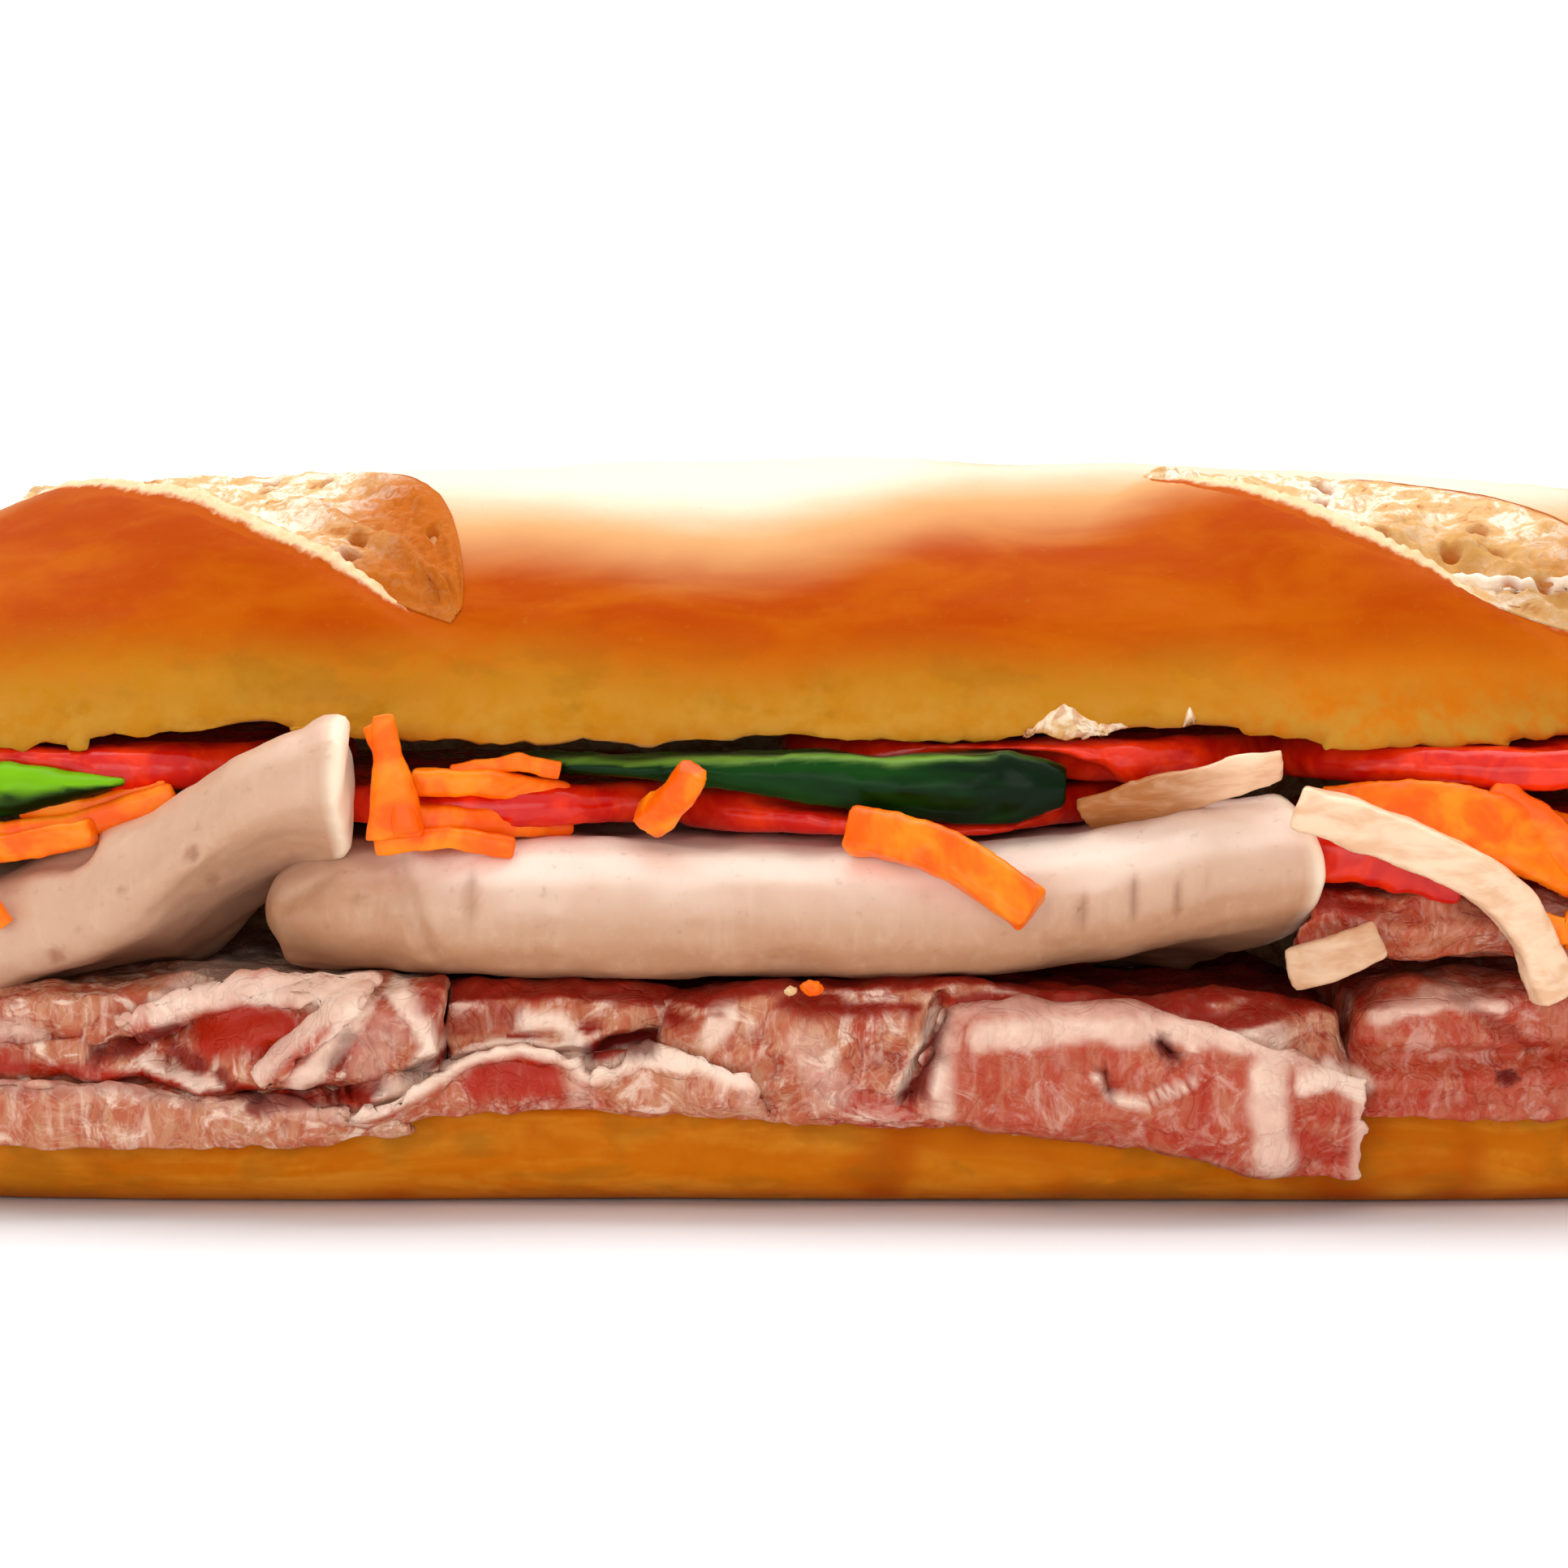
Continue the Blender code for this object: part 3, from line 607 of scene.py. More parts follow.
def makePatch(number, left, right, low, high):
    # a ragged scrap of torn crumb on the front of the lip, between the limits in mm
    def place(s, t):
        ragged = grain(Vector((s * 5, t * 2, number)), 1.0, 2)
        x = left + (right - left) * s
        z = low + (high - low) * t * (0.3 + 0.7 * math.sin(s * math.pi) ** 1.5) + ragged * 0.5
        seen = breadTree.ray_cast(Vector((x * mm, -60 * mm, z * mm)), Vector((0, 1, 0)))[0]
        spot = seen or breadTree.find_nearest(Vector((x * mm, -33 * mm, z * mm)))[0]
        inside = min(ease(min(s, 1 - s), 0, 0.12), ease(min(t, 1 - t), 0, 0.25))
        lift = (0.3 + 0.4 * abs(grain(spot, 1.9 * mm, number)) + 0.3 * t) * inside - 0.15
        return spot + Vector((0, -lift, 0)) * mm

    values = {
        # pit: painted shade in the gaps
        "pit": lambda s, t: 0.5 * ease(grain(Vector((s * 9, t * 3, number)), 1.0, 7), 0.1, 0.35),
        "shade": lambda s, t: 0.45,
        # ridge: painted highlight on the upper part of the scrap
        "ridge": lambda s, t: 0.25 * ease(t, 0.5, 0.8),
        "blend": lambda s, t: 0.55 * (1 - ease(min(s, 1 - s, t), 0, 0.3)),
    }
    cell = 0.14
    scrap = sheet(f"lipScrap{number}", int((right - left) / cell), int((high - low) / cell), place,
                  0.3 * mm, values)
    settle(scrap, torn, "crust")


patches = (
    (15.6, 23.4, 41.2, 44.6), (20.4, 27.0, 40.9, 43.2),
    (29.4, 31.2, 41.0, 44.6), (30.6, 34.4, 40.8, 42.2),
)
for number, limits in enumerate(patches):
    makePatch(number, *limits)
print("loaf made")


def hamFinish():
    tones = {"beige": srgb(196, 134, 98), "pink": srgb(182, 92, 60), "rose": srgb(168, 48, 24),
             "fat": srgb(244, 212, 190), "red": srgb(172, 34, 6), "deep": srgb(96, 6, 0),
             "thread": srgb(140, 30, 10)}
    f = Finish("ham", 0.34, (1.0, 0.3, 0.15), Subsurface_Weight=0.12, Subsurface_Scale=1.5 * mm,
               Specular_IOR_Level=0.22)
    grainLines = f.noise(1.6 * mm, 4, 0.65, 0.6, f.stretched(1.0, 1.0, 0.35))
    marble = f.noise(5 * mm, 5, 0.66, 1.4)
    blotch = f.noise(12 * mm, 3, 0.6, 0.6)
    upright = f.noise(1.1 * mm, 3, 0.6, 0.4, f.stretched(1.0, 1.0, 0.2, 14))
    redThread = (f.noise(5.5 * mm, 3, 0.6, 1.0) - 0.5).maths("ABSOLUTE").between(0.004, 0.035, 1.0, 0.0)
    paleThread = (f.noise(4.6 * mm, 3, 0.6, 1.2) - 0.52).maths("ABSOLUTE").between(0.004, 0.03, 1.0, 0.0)
    colour = grainLines.between(0.35, 0.65).mix(tones["beige"], tones["pink"])
    colour = (blotch.between(0.46, 0.66) * 0.8).mix(colour, tones["rose"])
    colour = (marble.between(0.52, 0.66) * 0.75).mix(colour, tones["fat"])
    colour = (redThread * blotch.between(0.4, 0.6) * 0.6).mix(colour, tones["thread"])
    colour = (paleThread * 0.14).mix(colour, tones["fat"])
    colour = (upright.between(0.5, 0.75) * 0.45).mix(colour, tones["fat"])
    colour = (f.stored("red") * (0.55 + grainLines)).mix(colour, tones["red"])
    # pale fat, with painted highlight on raised rims and leaf edges
    colour = (f.stored("fat") * (0.45 + marble)).mix(colour, tones["fat"])
    # deep: painted shade in sunken creases and tears and under the rolls
    colour = f.stored("deep").mix(colour, tones["deep"])
    f.feed("Base Color", colour)
    f.feed("Roughness", grainLines * 0.3 + 0.2 + f.stored("deep") * 0.4)
    f.bump(grainLines + marble * 0.6 + redThread * -0.5, 0.45, 0.45 * mm)
    return f.material


def rollFinish():
    tones = {"gloss": srgb(246, 220, 202), "pink": srgb(206, 164, 136), "shadeTan": srgb(188, 138, 102),
             "speck": srgb(232, 200, 174), "pit": srgb(150, 84, 46), "rim": srgb(252, 232, 204)}
    f = Finish("porkRoll", 0.36, (1.0, 0.5, 0.35), Subsurface_Weight=0.15, Subsurface_Scale=1.5 * mm,
               Specular_IOR_Level=0.45)
    blotch = f.noise(12 * mm, 3, 0.55)
    fine = f.noise(0.9 * mm, 3, 0.6)
    lines = f.noise(1.5 * mm, 3, 0.6, 0.3, f.stretched(1.0, 1.0, 0.22))
    # up: painted highlight where faces turn up, painted shade where they turn down
    up = f.stored("up") + (blotch - 0.5) * 0.7
    colour = up.between(-0.5, 0.15).mix(tones["shadeTan"], tones["pink"])
    colour = up.between(0.1, 0.75).mix(colour, tones["gloss"])
    colour = (lines.between(0.45, 0.8) * 0.18).mix(colour, tones["speck"])
    colour = (fine.between(0.5, 0.85) * 0.15).mix(colour, tones["speck"])
    # the pit tone: random dark dots, and painted shade in the dents
    colour = ((1 - fine.between(0.2, 0.42)) * 0.25).mix(colour, tones["pit"])
    colour = f.stored("pit").mix(colour, tones["pit"])
    colour = f.stored("rim").mix(colour, tones["rim"])
    f.feed("Base Color", colour)
    f.feed("Roughness", 0.3 + blotch * 0.2)
    f.bump(fine * 0.3 + lines * 0.5, 0.2, 0.35 * mm)
    return f.material


def wetFinish(name, first, second, roughness, grainSize, **constants):
    f = Finish(name, roughness, **constants)
    speck = f.noise(grainSize, 3, 0.6, 0.6)
    f.feed("Base Color", speck.between(0.35, 0.7).mix(first, second))
    f.bump(speck, 0.2, 0.3 * mm)
    return f.material


def daikonFinish():
    f = Finish("daikon", 0.28, (1.0, 0.8, 0.6), Subsurface_Weight=0.3, Subsurface_Scale=1.5 * mm,
               Specular_IOR_Level=0.4)
    threads = f.noise(1.4 * mm, 3, 0.6, 0.4, f.stretched(0.3, 1.0, 1.0))
    colour = threads.between(0.35, 0.7).mix(srgb(243, 208, 174), srgb(226, 178, 138))
    # dull: painted shade towards daikon_flat's left end, inside the loaf; the onion is evenly darker
    colour = (f.stored("dull") * (0.5 + threads)).mix(colour, srgb(170, 104, 48))
    f.feed("Base Color", colour)
    f.bump(threads, 0.18, 0.25 * mm)
    return f.material


def cucumberFinish():
    tones = {"dark": srgb(0, 24, 0), "green": srgb(8, 62, 4), "lime": srgb(120, 184, 8),
             "line": srgb(120, 160, 60), "flesh": srgb(206, 214, 150), "core": srgb(232, 232, 190)}
    f = Finish("cucumber", 0.28, Specular_IOR_Level=0.12)
    streak = f.noise(5 * mm, 3, 0.6, 0.3, f.stretched(0.2, 1.0, 1.0))
    skin = streak.between(0.4, 0.7).mix(tones["dark"], tones["green"])
    # lime: the left piece's lighter green, left off downward faces as painted shade
    skin = (f.stored("lime") * (0.5 + streak)).mix(skin, tones["lime"])
    # line: painted highlight along the top of the skin
    skin = (f.stored("line") * streak.between(0.3, 0.6)).mix(skin, tones["line"])
    flesh = f.noise(2 * mm, 3).mix(tones["flesh"], tones["core"])
    f.feed("Base Color", f.stored("flesh").mix(skin, flesh))
    f.bump(f.noise(1.5 * mm), 0.12, 0.3 * mm)
    return f.material


ham = hamFinish()
roll = rollFinish()
tomato = wetFinish("tomato", srgb(204, 16, 4), srgb(240, 52, 8), 0.2, 4 * mm, Specular_IOR_Level=0.35)
carrot = wetFinish("carrot", srgb(246, 92, 0), srgb(252, 138, 16), 0.28, 5 * mm, Specular_IOR_Level=0.2)
daikon = daikonFinish()
cucumber = cucumberFinish()


# how far some pieces have slid, in mm, and how much lower their left ends lie
drifts = {
    "tomato_1": (0, -6.5, 0.2, 0), "tomato_2": (2, -6.5, 0.6, 0), "tomato_3": (-2, -5.0, 0, 0),
    "tomato_4": (3, -6.5, 0, 0), "tomato_5": (0, -7.0, -0.5, 0), "tomato_6": (1, -7.5, 0.9, 0),
    "daikon_flat": (0, 0.5, 0.6, -4.0),
}


def plainPiece(nodeName, material, slot, cell, smoothing, bumpSize, bumpHeight):
    piece = fineCopy(nodeName, nodeName + "Looks", cell, smoothing)
    drift = drifts.get(nodeName, (0, 0, 0, 0))
    low, high = min(v.co.x for v in piece.data.vertices), max(v.co.x for v in piece.data.vertices)

    def push(place, normal):
        share = (place.x - low) / (high - low)
        tilt = drift[3] * (1 - share) ** 1.3
        shift = Vector((drift[0], drift[1], drift[2] + tilt)) * mm
        if slot == "tomato":
            shift.x += (share - 0.5) * 5 * mm
        return normal * (grain(place, bumpSize, 5) * bumpHeight) + shift

    sculpt(piece, push)
    # daikon_flat darker towards its left end: painted shade
    if nodeName == "daikon_flat":
        remember(piece, "dull", lambda place, normal: 1 - ease(place.x, low + 5 * mm, high - 2 * mm))
    if nodeName == "onion":
        remember(piece, "dull", lambda place, normal: 0.35)
    if slot == "cucumber":
        lime = 1.0 if nodeName == "cucumber_left" else 0.0
        remember(piece, "flesh", lambda place, normal: ease(normal.y, -0.1, 0.25))
        # line: painted highlight on upward faces; lime left off downward faces as painted shade
        remember(piece, "line", lambda place, normal: ease(normal.z, 0.55, 0.85) * (1 - lime))
        remember(piece, "lime", lambda place, normal: lime * ease(normal.z, -0.5, 0.2))
    return settle(piece, material, slot, nodeName)


# folds, tears, fat and painted light on the front of the ham: a line through (x, z) in mm, its width, how far
# it stands out, and how much pale fat with painted highlight, red, and painted shade (deep) it gets
hamMarks = (
    ([(-58.6, 18.6), (-55, 20.2), (-48, 20.6), (-42, 20.2)], 2.2, 0.9, (0.8, 0, 0)),
    ([(-46.8, 12.4), (-43.6, 15.6), (-41.2, 19.4)], 1.5, 0.8, (0.9, 0, 0)),
    ([(-54.5, 16.2), (-51.6, 17.0), (-48.6, 16.6)], 3.2, -1.4, (0, 1.0, 0)),
    ([(-38.5, 20.3), (-36.2, 18.2), (-35.4, 15.6), (-36.5, 13.2), (-39.4, 11.4)], 1.3, 0.8, (1.0, 0, 0)),
    ([(-40.8, 14.0), (-39.0, 17.0)], 2.4, -0.5, (0.3, 0.15, 0)),
    ([(-43.4, 14.2), (-42.4, 16.6)], 1.0, -1.0, (0, 0.8, 0.5)),
    ([(-64.8, 14.1), (-61.2, 15.2), (-57.7, 17.0)], 0.9, -1.4, (0, 0.6, 0.8)),
    ([(-60.5, 13.6), (-57.0, 12.4), (-54.0, 11.8)], 0.8, 0.7, (0.9, 0, 0)),
    ([(-58.2, 14.6), (-55.6, 13.4)], 0.9, -1.2, (0, 0.7, 0.6)),
    ([(-53.8, 13.2), (-52.2, 11.2), (-50.2, 10.6)], 0.8, -1.3, (0, 0.7, 0.7)),
    ([(-76, 12.2), (-70, 11.4), (-63, 11.6), (-56, 10.4)], 0.7, -0.8, (0, 0.2, 0.2)),
    ([(-76, 15.0), (-72.5, 16.4), (-70, 16.0)], 1.2, 0.4, (0.5, 0, 0)),
    ([(-51, 10.2), (-43.2, 10.8), (-38.8, 12.4), (-34.4, 14.4)], 0.9, -1.6, (0, 1.0, 0.6)),
    ([(-41.4, 9.5), (-36.6, 11.9), (-31.8, 14.9), (-27.8, 15.7), (-23.4, 14.8)], 0.9, 1.0, (1.0, 0, 0)),
    ([(-31, 12.2), (-28.2, 13.0), (-25.4, 12.4)], 2.6, 0.3, (0, 0.9, 0)),
    ([(-27.4, 17.2), (-24.6, 17.4), (-22.8, 15.6), (-22.6, 13.6)], 1.2, 0.9, (1.0, 0, 0)),
    ([(-21.6, 15.0), (-19.0, 15.6), (-16.6, 15.4)], 1.2, -2.0, (0, 1.0, 0.8)),
    ([(-22, 12.8), (-17.6, 14.4), (-12.9, 13.8)], 0.8, 0.8, (0.9, 0, 0)),
    ([(-34, 17.2), (-29, 17.8)], 1.6, -0.6, (0, 0.5, 0.25)),
    ([(-11, 16.4), (-10.2, 18.4)], 1.8, 0.3, (0.8, 0, 0)),
    ([(9.1, 18.2), (7.9, 14.6), (6.0, 11.0)], 0.8, -1.7, (0, 0.8, 0.8)),
    ([(8.0, 18.3), (6.8, 15.6), (5.0, 11.8)], 0.5, 0.7, (1.0, 0, 0)),
    ([(10.2, 18.0), (9.0, 14.8), (7.4, 11.6)], 0.5, 0.6, (0.9, 0, 0)),
    ([(27.3, 16.0), (28.5, 14.8)], 0.9, -1.6, (0, 0.6, 0.9)),
    ([(30.2, 15.6), (29.8, 12.8), (26.0, 11.0), (22.4, 11.8), (21.4, 14.2)], 0.6, 0.6, (0.9, 0, 0)),
    ([(22.4, 13.4), (23.0, 11.8)], 0.8, -1.2, (0, 0.6, 0.7)),
    ([(17.6, 12.4), (21.0, 12.2)], 1.8, -0.2, (0, 0.55, 0)),
    # the seam under the rolls: red with painted shade
    ([(9, 19.3), (20, 19.4), (30, 18.6), (38, 16.9)], 0.8, 0.0, (0, 0.9, 0.2)),
    # under hamLeafLow's upper edge: red to colour the shade there
    ([(-84, 13.4), (-70, 13.0), (-58, 12.0), (-48, 11.1), (-39, 10.2)], 1.1, 0.0, (0, 0.9, 0)),
    ([(13, 9.0), (22, 8.0), (31, 7.4)], 1.6, 0.0, (0, 0.6, 0)),
    ([(-3, 15.6), (-1, 11.6)], 2.6, 0.2, (0.35, 0, 0)),
    ([(1, 10.6), (6, 9.6)], 1.6, 0.0, (0, 0.5, 0)),
    ([(31.6, 12.8), (34.4, 12.8)], 1.6, -0.2, (0, 0.5, 0)),
    ([(37.0, 16.4), (36.4, 11.0), (37.4, 5.4)], 2.4, 0.4, (0.75, 0, 0)),
    ([(31.0, 6.4), (33.6, 5.8)], 1.5, -0.2, (0, 0.8, 0)),
    ([(38.8, 7.4), (42.0, 5.8)], 1.9, -0.3, (0, 0.8, 0)),
    ([(39.9, 12.4), (42.4, 13.0), (44.8, 11.8)], 1.5, 0.5, (1.0, 0, 0)),
    ([(12, 16.8), (20, 17.4), (30, 17.0), (36, 16.2)], 1.8, 0.3, (0.75, 0, 0)),
    ([(48, 12.0), (52, 13.4), (56, 13.0)], 4.2, -0.2, (0, 0.5, 0)),
    ([(46.4, 17.6), (52, 19.4), (57, 18.6)], 1.2, 0.3, (0.6, 0, 0)),
    ([(57.6, 12.4), (58.2, 12.4)], 0.7, -1.0, (0, 0.4, 0.9)),
    ([(60, 14.5), (57, 17.0), (53, 19.6)], 0.7, -0.7, (0, 0.6, 0.3)),
)


def nearLine(x, z, line):
    # the distance from (x, z) to a line of straight runs
    best = 1.0
    for (ax, az), (bx, bz) in zip(line, line[1:]):
        runX, runZ = bx - ax, bz - az
        share = ((x - ax) * runX + (z - az) * runZ) / (runX * runX + runZ * runZ)
        share = min(1.0, max(0.0, share))
        best = min(best, math.hypot(x - ax - share * runX, z - az - share * runZ) * mm)
    return best


def marked(place, pieceMarks):
    # how far out the ham is here, and how much pale fat with painted highlight, red, and painted shade (deep)
    # it gets
    out, fat, red, deep = 0.0, 0.0, 0.0, 0.0
    wander = grain(place, 2.2 * mm, 3, 2) * 0.45 * mm
    for low, high, line, width, height, look in pieceMarks:
        if low < place.x < high:
            near = 1 - ease(nearLine(place.x / mm, place.z / mm, line) + wander, width * 0.35, width)
            out += near * height
            fat, red, deep = max(fat, near * look[0]), max(red, near * look[1]), max(deep, near * look[2])
    return out, fat, red, deep


slices = {"cell": 0.5 * mm, "smoothing": 8, "fold": 3.3 * mm,
          "raised": ("ham_left", "ham_far_left", "ham_left_middle", "ham_long")}


def makeHam(nodeName, stretch=(0.0, 0.0), tuck=(0.0, 0.0), rosy=0.0):
    # stretch lengthens each end, tuck sets its front back, and rosy reddens it
    piece = fineCopy(nodeName, nodeName + "Looks", slices["cell"], slices["smoothing"])
    low = min(v.co.x for v in piece.data.vertices)
    high = max(v.co.x for v in piece.data.vertices)
    near = [((min(line)[0] - width) * mm, (max(line)[0] + width) * mm, line, width * mm, height * mm, look)
            for line, width, height, look in hamMarks]
    near = [mark for mark in near if mark[1] > low and mark[0] < high]

    def push(place, normal):
        share = (place.x - low) / (high - low)
        move = Vector(((share ** 3) * stretch[1] - ((1 - share) ** 3) * stretch[0], 0, 0))
        move += normal * (grain(place, 6 * mm, 5) * 0.8 * mm + grain(place, 1.8 * mm, 6, 2) * 0.18 * mm)
        front = ease(-normal.y, 0.0, 0.6)
        nearLow, nearHigh = 1 - ease(place.x - low, 0, 6 * mm), 1 - ease(high - place.x, 0, 6 * mm)
        move.y += (nearLow * tuck[0] + nearHigh * tuck[1]) * ease(-place.y, 20 * mm, 32 * mm)
        if nodeName in slices["raised"]:
            move.z += 1.3 * mm * ease(normal.z, 0.2, 0.7) * ease(-place.y, 22 * mm, 32 * mm)
        wave = math.sin((place.z / slices["fold"] + ripple(place.x, 12 * mm, 4) * 1.2) * 2 * math.pi)
        move.y += front * (0.35 * mm * wave - marked(place, near)[0])
        return move

    sculpt(piece, push)
    looks = []
    for v in piece.data.vertices:
        _, fat, red, deep = marked(v.co, near) if v.normal.y < 0.3 else (0, 0, 0, 0)
        # top: upward faces tucked under the rolls, painted dark red with painted shade
        top = ease(v.normal.z, 0.35, 0.75) * (v.co.z > 16 * mm)
        top *= ease(v.co.x, -38 * mm, -34 * mm) * (1 - ease(v.co.x, 44 * mm, 50 * mm))
        looks.append((fat * (1 - top), max(red, rosy, 0.9 * top), max(deep, 0.5 * top)))
    for number, key in enumerate(("fat", "red", "deep")):
        store(piece, key, [look[number] for look in looks])
    return settle(piece, ham, "ham", nodeName)


hams = [
    makeHam("ham_left"),
    makeHam("ham_left_fold", (3 * mm, 0.0), (4 * mm, 0.0)),
    makeHam("ham_left_middle", (2.0 * mm, 3.5 * mm), (0.0, 2.2 * mm)),
    makeHam("ham_long", (2.5 * mm, 0.0), (1.2 * mm, 0.0)),
    makeHam("ham_right", (1.5 * mm, 1.0 * mm), rosy=0.55),
    makeHam("ham_upper_right", rosy=0.25),
    makeHam("ham_far_left", (0.0, 1.0 * mm)),
    makeHam("ham_far_right"),
]
hamTrees = [treeOf(piece) for piece in hams]


def hamFront(x, z):
    # how far forward the ham stands at (x, z)
    front = -33.5 * mm
    for tree in hamTrees:
        spot = tree.ray_cast(Vector((x, -60 * mm, z)), Vector((0, 1, 0)))[0]
        if spot and spot.y < front:
            front = spot.y
    return front


def onLine(line, share):
    # a place on a line of (x, z) in mm, at a share of its number of runs
    run = min(share * (len(line) - 1), len(line) - 1.001)
    (ax, az), (bx, bz) = line[int(run)], line[int(run) + 1]
    part = run - int(run)
    return Vector(((ax + (bx - ax) * part) * mm, (az + (bz - az) * part) * mm))


# loose leaves of ham on the front of the stack: the upper edge and the foot through (x, z) in mm, how far the
# edge stands off, how much pale fat with painted highlight the upper edge and the ends get, and how red the
# leaf is
hamLeaves = {
    "hamLeafLow": {"rim": [(-84, 12.6), (-70, 12.2), (-58, 11.2), (-48, 10.2), (-39, 9.2)],
                   "foot": [(-84, 6.8), (-70, 6.6), (-58, 6.4), (-48, 6.8), (-37, 8.2)],
                   "off": 0.35, "fat": (0.35, 0.2), "red": 0.0},
    "hamLeafCrown": {"rim": [(-63, 17.2), (-58, 19.6), (-52, 21.3), (-46, 21.7), (-40, 21.0)],
                     "foot": [(-60, 15.6), (-56.5, 18.2), (-51, 19.6), (-46, 19.4), (-42, 18.2)],
                     "off": 0.5, "fat": (0.5, 0.5), "red": 0.0},
    "hamLeafSlant": {"rim": [(-50.6, 13.0), (-47.8, 15.8), (-44.6, 18.6), (-42.6, 20.8)],
                     "foot": [(-49.4, 12.4), (-46.4, 15.0), (-43.2, 17.6), (-40.8, 20.0)],
                     "off": 0.4, "fat": (0.7, 0.5), "red": 0.1},
    "hamLeafMiddle": {"rim": [(-42.4, 9.4), (-37, 12.0), (-32, 15.0), (-27.6, 15.9), (-22.6, 14.4)],
                      "foot": [(-41, 8.4), (-36, 9.4), (-31, 9.8), (-26, 10.0), (-20.6, 10.2)],
                      "off": 0.7, "fat": (1.0, 0.4), "red": 0.25},
    "hamLeafNext": {"rim": [(-23, 12.4), (-20, 13.8), (-16.6, 15.2), (-12.4, 14.4), (-8, 12.8)],
                    "foot": [(-22, 10.2), (-18, 10.0), (-14, 9.8), (-10, 9.8), (-6, 9.8)],
                    "off": 0.5, "fat": (1.0, 0.3), "red": 0.05},
    "hamLeafHang": {"rim": [(8.6, 18.8), (16, 19.2), (25, 18.8), (34, 16.8), (40.5, 14.0), (45.2, 12.4)],
                    "foot": [(5.2, 10.2), (13, 8.4), (22, 7.2), (30, 6.2), (37, 4.0), (45.0, 3.6)],
                    "off": 0.4, "fat": (0.5, 0.6), "red": 0.5},
}


def makeLeaf(name, leaf, number):
    near = [(-1.0, 1.0, line, width * mm, height * mm, look) for line, width, height, look in hamMarks]

    def place(s, t):
        rim, foot = onLine(leaf["rim"], s), onLine(leaf["foot"], s)
        spot = rim.lerp(foot, t)
        ragged = grain(Vector((s * 9, t * 3, number)), 1.0, 3) * 0.5 * mm
        end = max(0.0, abs(s - 0.5) * 2 - 0.9) * 10
        spot.x += grain(Vector((t * 5, s, number)), 1.0, 3) * 0.9 * mm * end
        spot.y += ragged * (0.35 + 0.65 * abs(1 - 2 * t))
        beside = Vector((1.2, 0.6)) * mm
        around = [hamFront(*at) for at in (spot, spot + beside, spot - beside)]
        wavy = 0.1 + 0.25 * ripple(spot.x, 5 * mm, number)
        lift = leaf["off"] * (1 - t) ** 1.5 + 0.5 * math.sin(math.pi * t) + wavy
        front = sum(around) / 3 - lift * mm
        out = marked(Vector((spot.x, front, spot.y)), near)[0]
        return Vector((spot.x, front - out * 0.8, spot.y))

    columns = int((leaf["rim"][-1][0] - leaf["rim"][0][0]) / 0.45)
    piece = sheet(name, columns, 22, place, 0.9 * mm)
    modify(piece, "SMOOTH", factor=0.5, iterations=2)
    spots = [v.co.copy() for v in piece.data.vertices]
    shares = {"fat": [], "red": [], "deep": []}
    tall = [onLine(leaf["rim"], k / 40) for k in range(41)]
    for spot in spots:
        _, fat, red, deep = marked(spot, near)
        edge = min((Vector((spot.x, spot.z)) - rim).length for rim in tall)
        side = min(abs(spot.x - tall[0].x), abs(spot.x - tall[-1].x))
        # the upper edge and the ends: pale fat with painted highlight
        rimFat = (1 - ease(edge, 0.3 * mm, 1.5 * mm)) * leaf["fat"][0]
        sideFat = (1 - ease(side, 0.3 * mm, 1.6 * mm)) * leaf["fat"][1]
        shares["fat"].append(max(fat, rimFat, sideFat))
        shares["red"].append(max(red, leaf["red"]))
        shares["deep"].append(deep)
    for key, values in shares.items():
        store(piece, key, values)
    return settle(piece, ham, "ham")


for number, (name, leaf) in enumerate(hamLeaves.items()):
    makeLeaf(name, leaf, number)
print("ham made")


# dents in the pork roll: where in (x, z) mm, how wide, how tall and how deep
rollDents = (
    (-55.6, 32.5, 0.7, 1.3, 0.7), (-54.4, 28.4, 0.6, 0.9, 0.6), (-68.3, 23.6, 0.8, 1.1, 0.6),
    (-62.0, 30.0, 0.5, 0.6, 0.4), (-72.5, 27.0, 0.5, 0.6, 0.4), (-66.0, 26.4, 0.4, 0.5, 0.3),
    (20.6, 27.1, 0.55, 2.2, 0.6), (25.1, 28.2, 0.6, 2.4, 0.7), (28.9, 28.2, 0.55, 2.2, 0.6),
    (31.5, 29.5, 0.4, 1.6, 0.3), (17.4, 27.6, 0.4, 1.4, 0.3), (-32.0, 28.2, 0.8, 2.8, 0.5),
    (-41.6, 28.0, 0.5, 0.6, 0.4), (-44.5, 25.6, 0.4, 0.5, 0.3), (2.0, 23.0, 0.5, 0.5, 0.3),
)
# the lower and upper edges of the left roll through (x, z) in mm: as packed, and as it settles
leftPacked = ([(-76, 19.2), (-66, 18.6), (-60, 19.2), (-54, 20.8), (-48, 24.1), (-42, 30.0)],
              [(-76, 30.8), (-70, 32.3), (-64, 34.8), (-58, 38.4), (-52, 41.5), (-46, 43.7)])
leftSettled = ([(-76, 17.6), (-66, 17.6), (-60, 18.8), (-55, 22.4), (-50, 27.2), (-42, 31.8)],
               [(-76, 29.6), (-67, 32.4), (-60, 35.6), (-52.6, 40.2), (-44.4, 44.0)])
rollCreases = (
    ([(-38.4, 31.0), (-37.0, 27.4), (-35.7, 23.6)], 1.3, 0.9),
    ([(-48.6, 27.0), (-44.6, 29.6)], 1.0, 0.5),
)


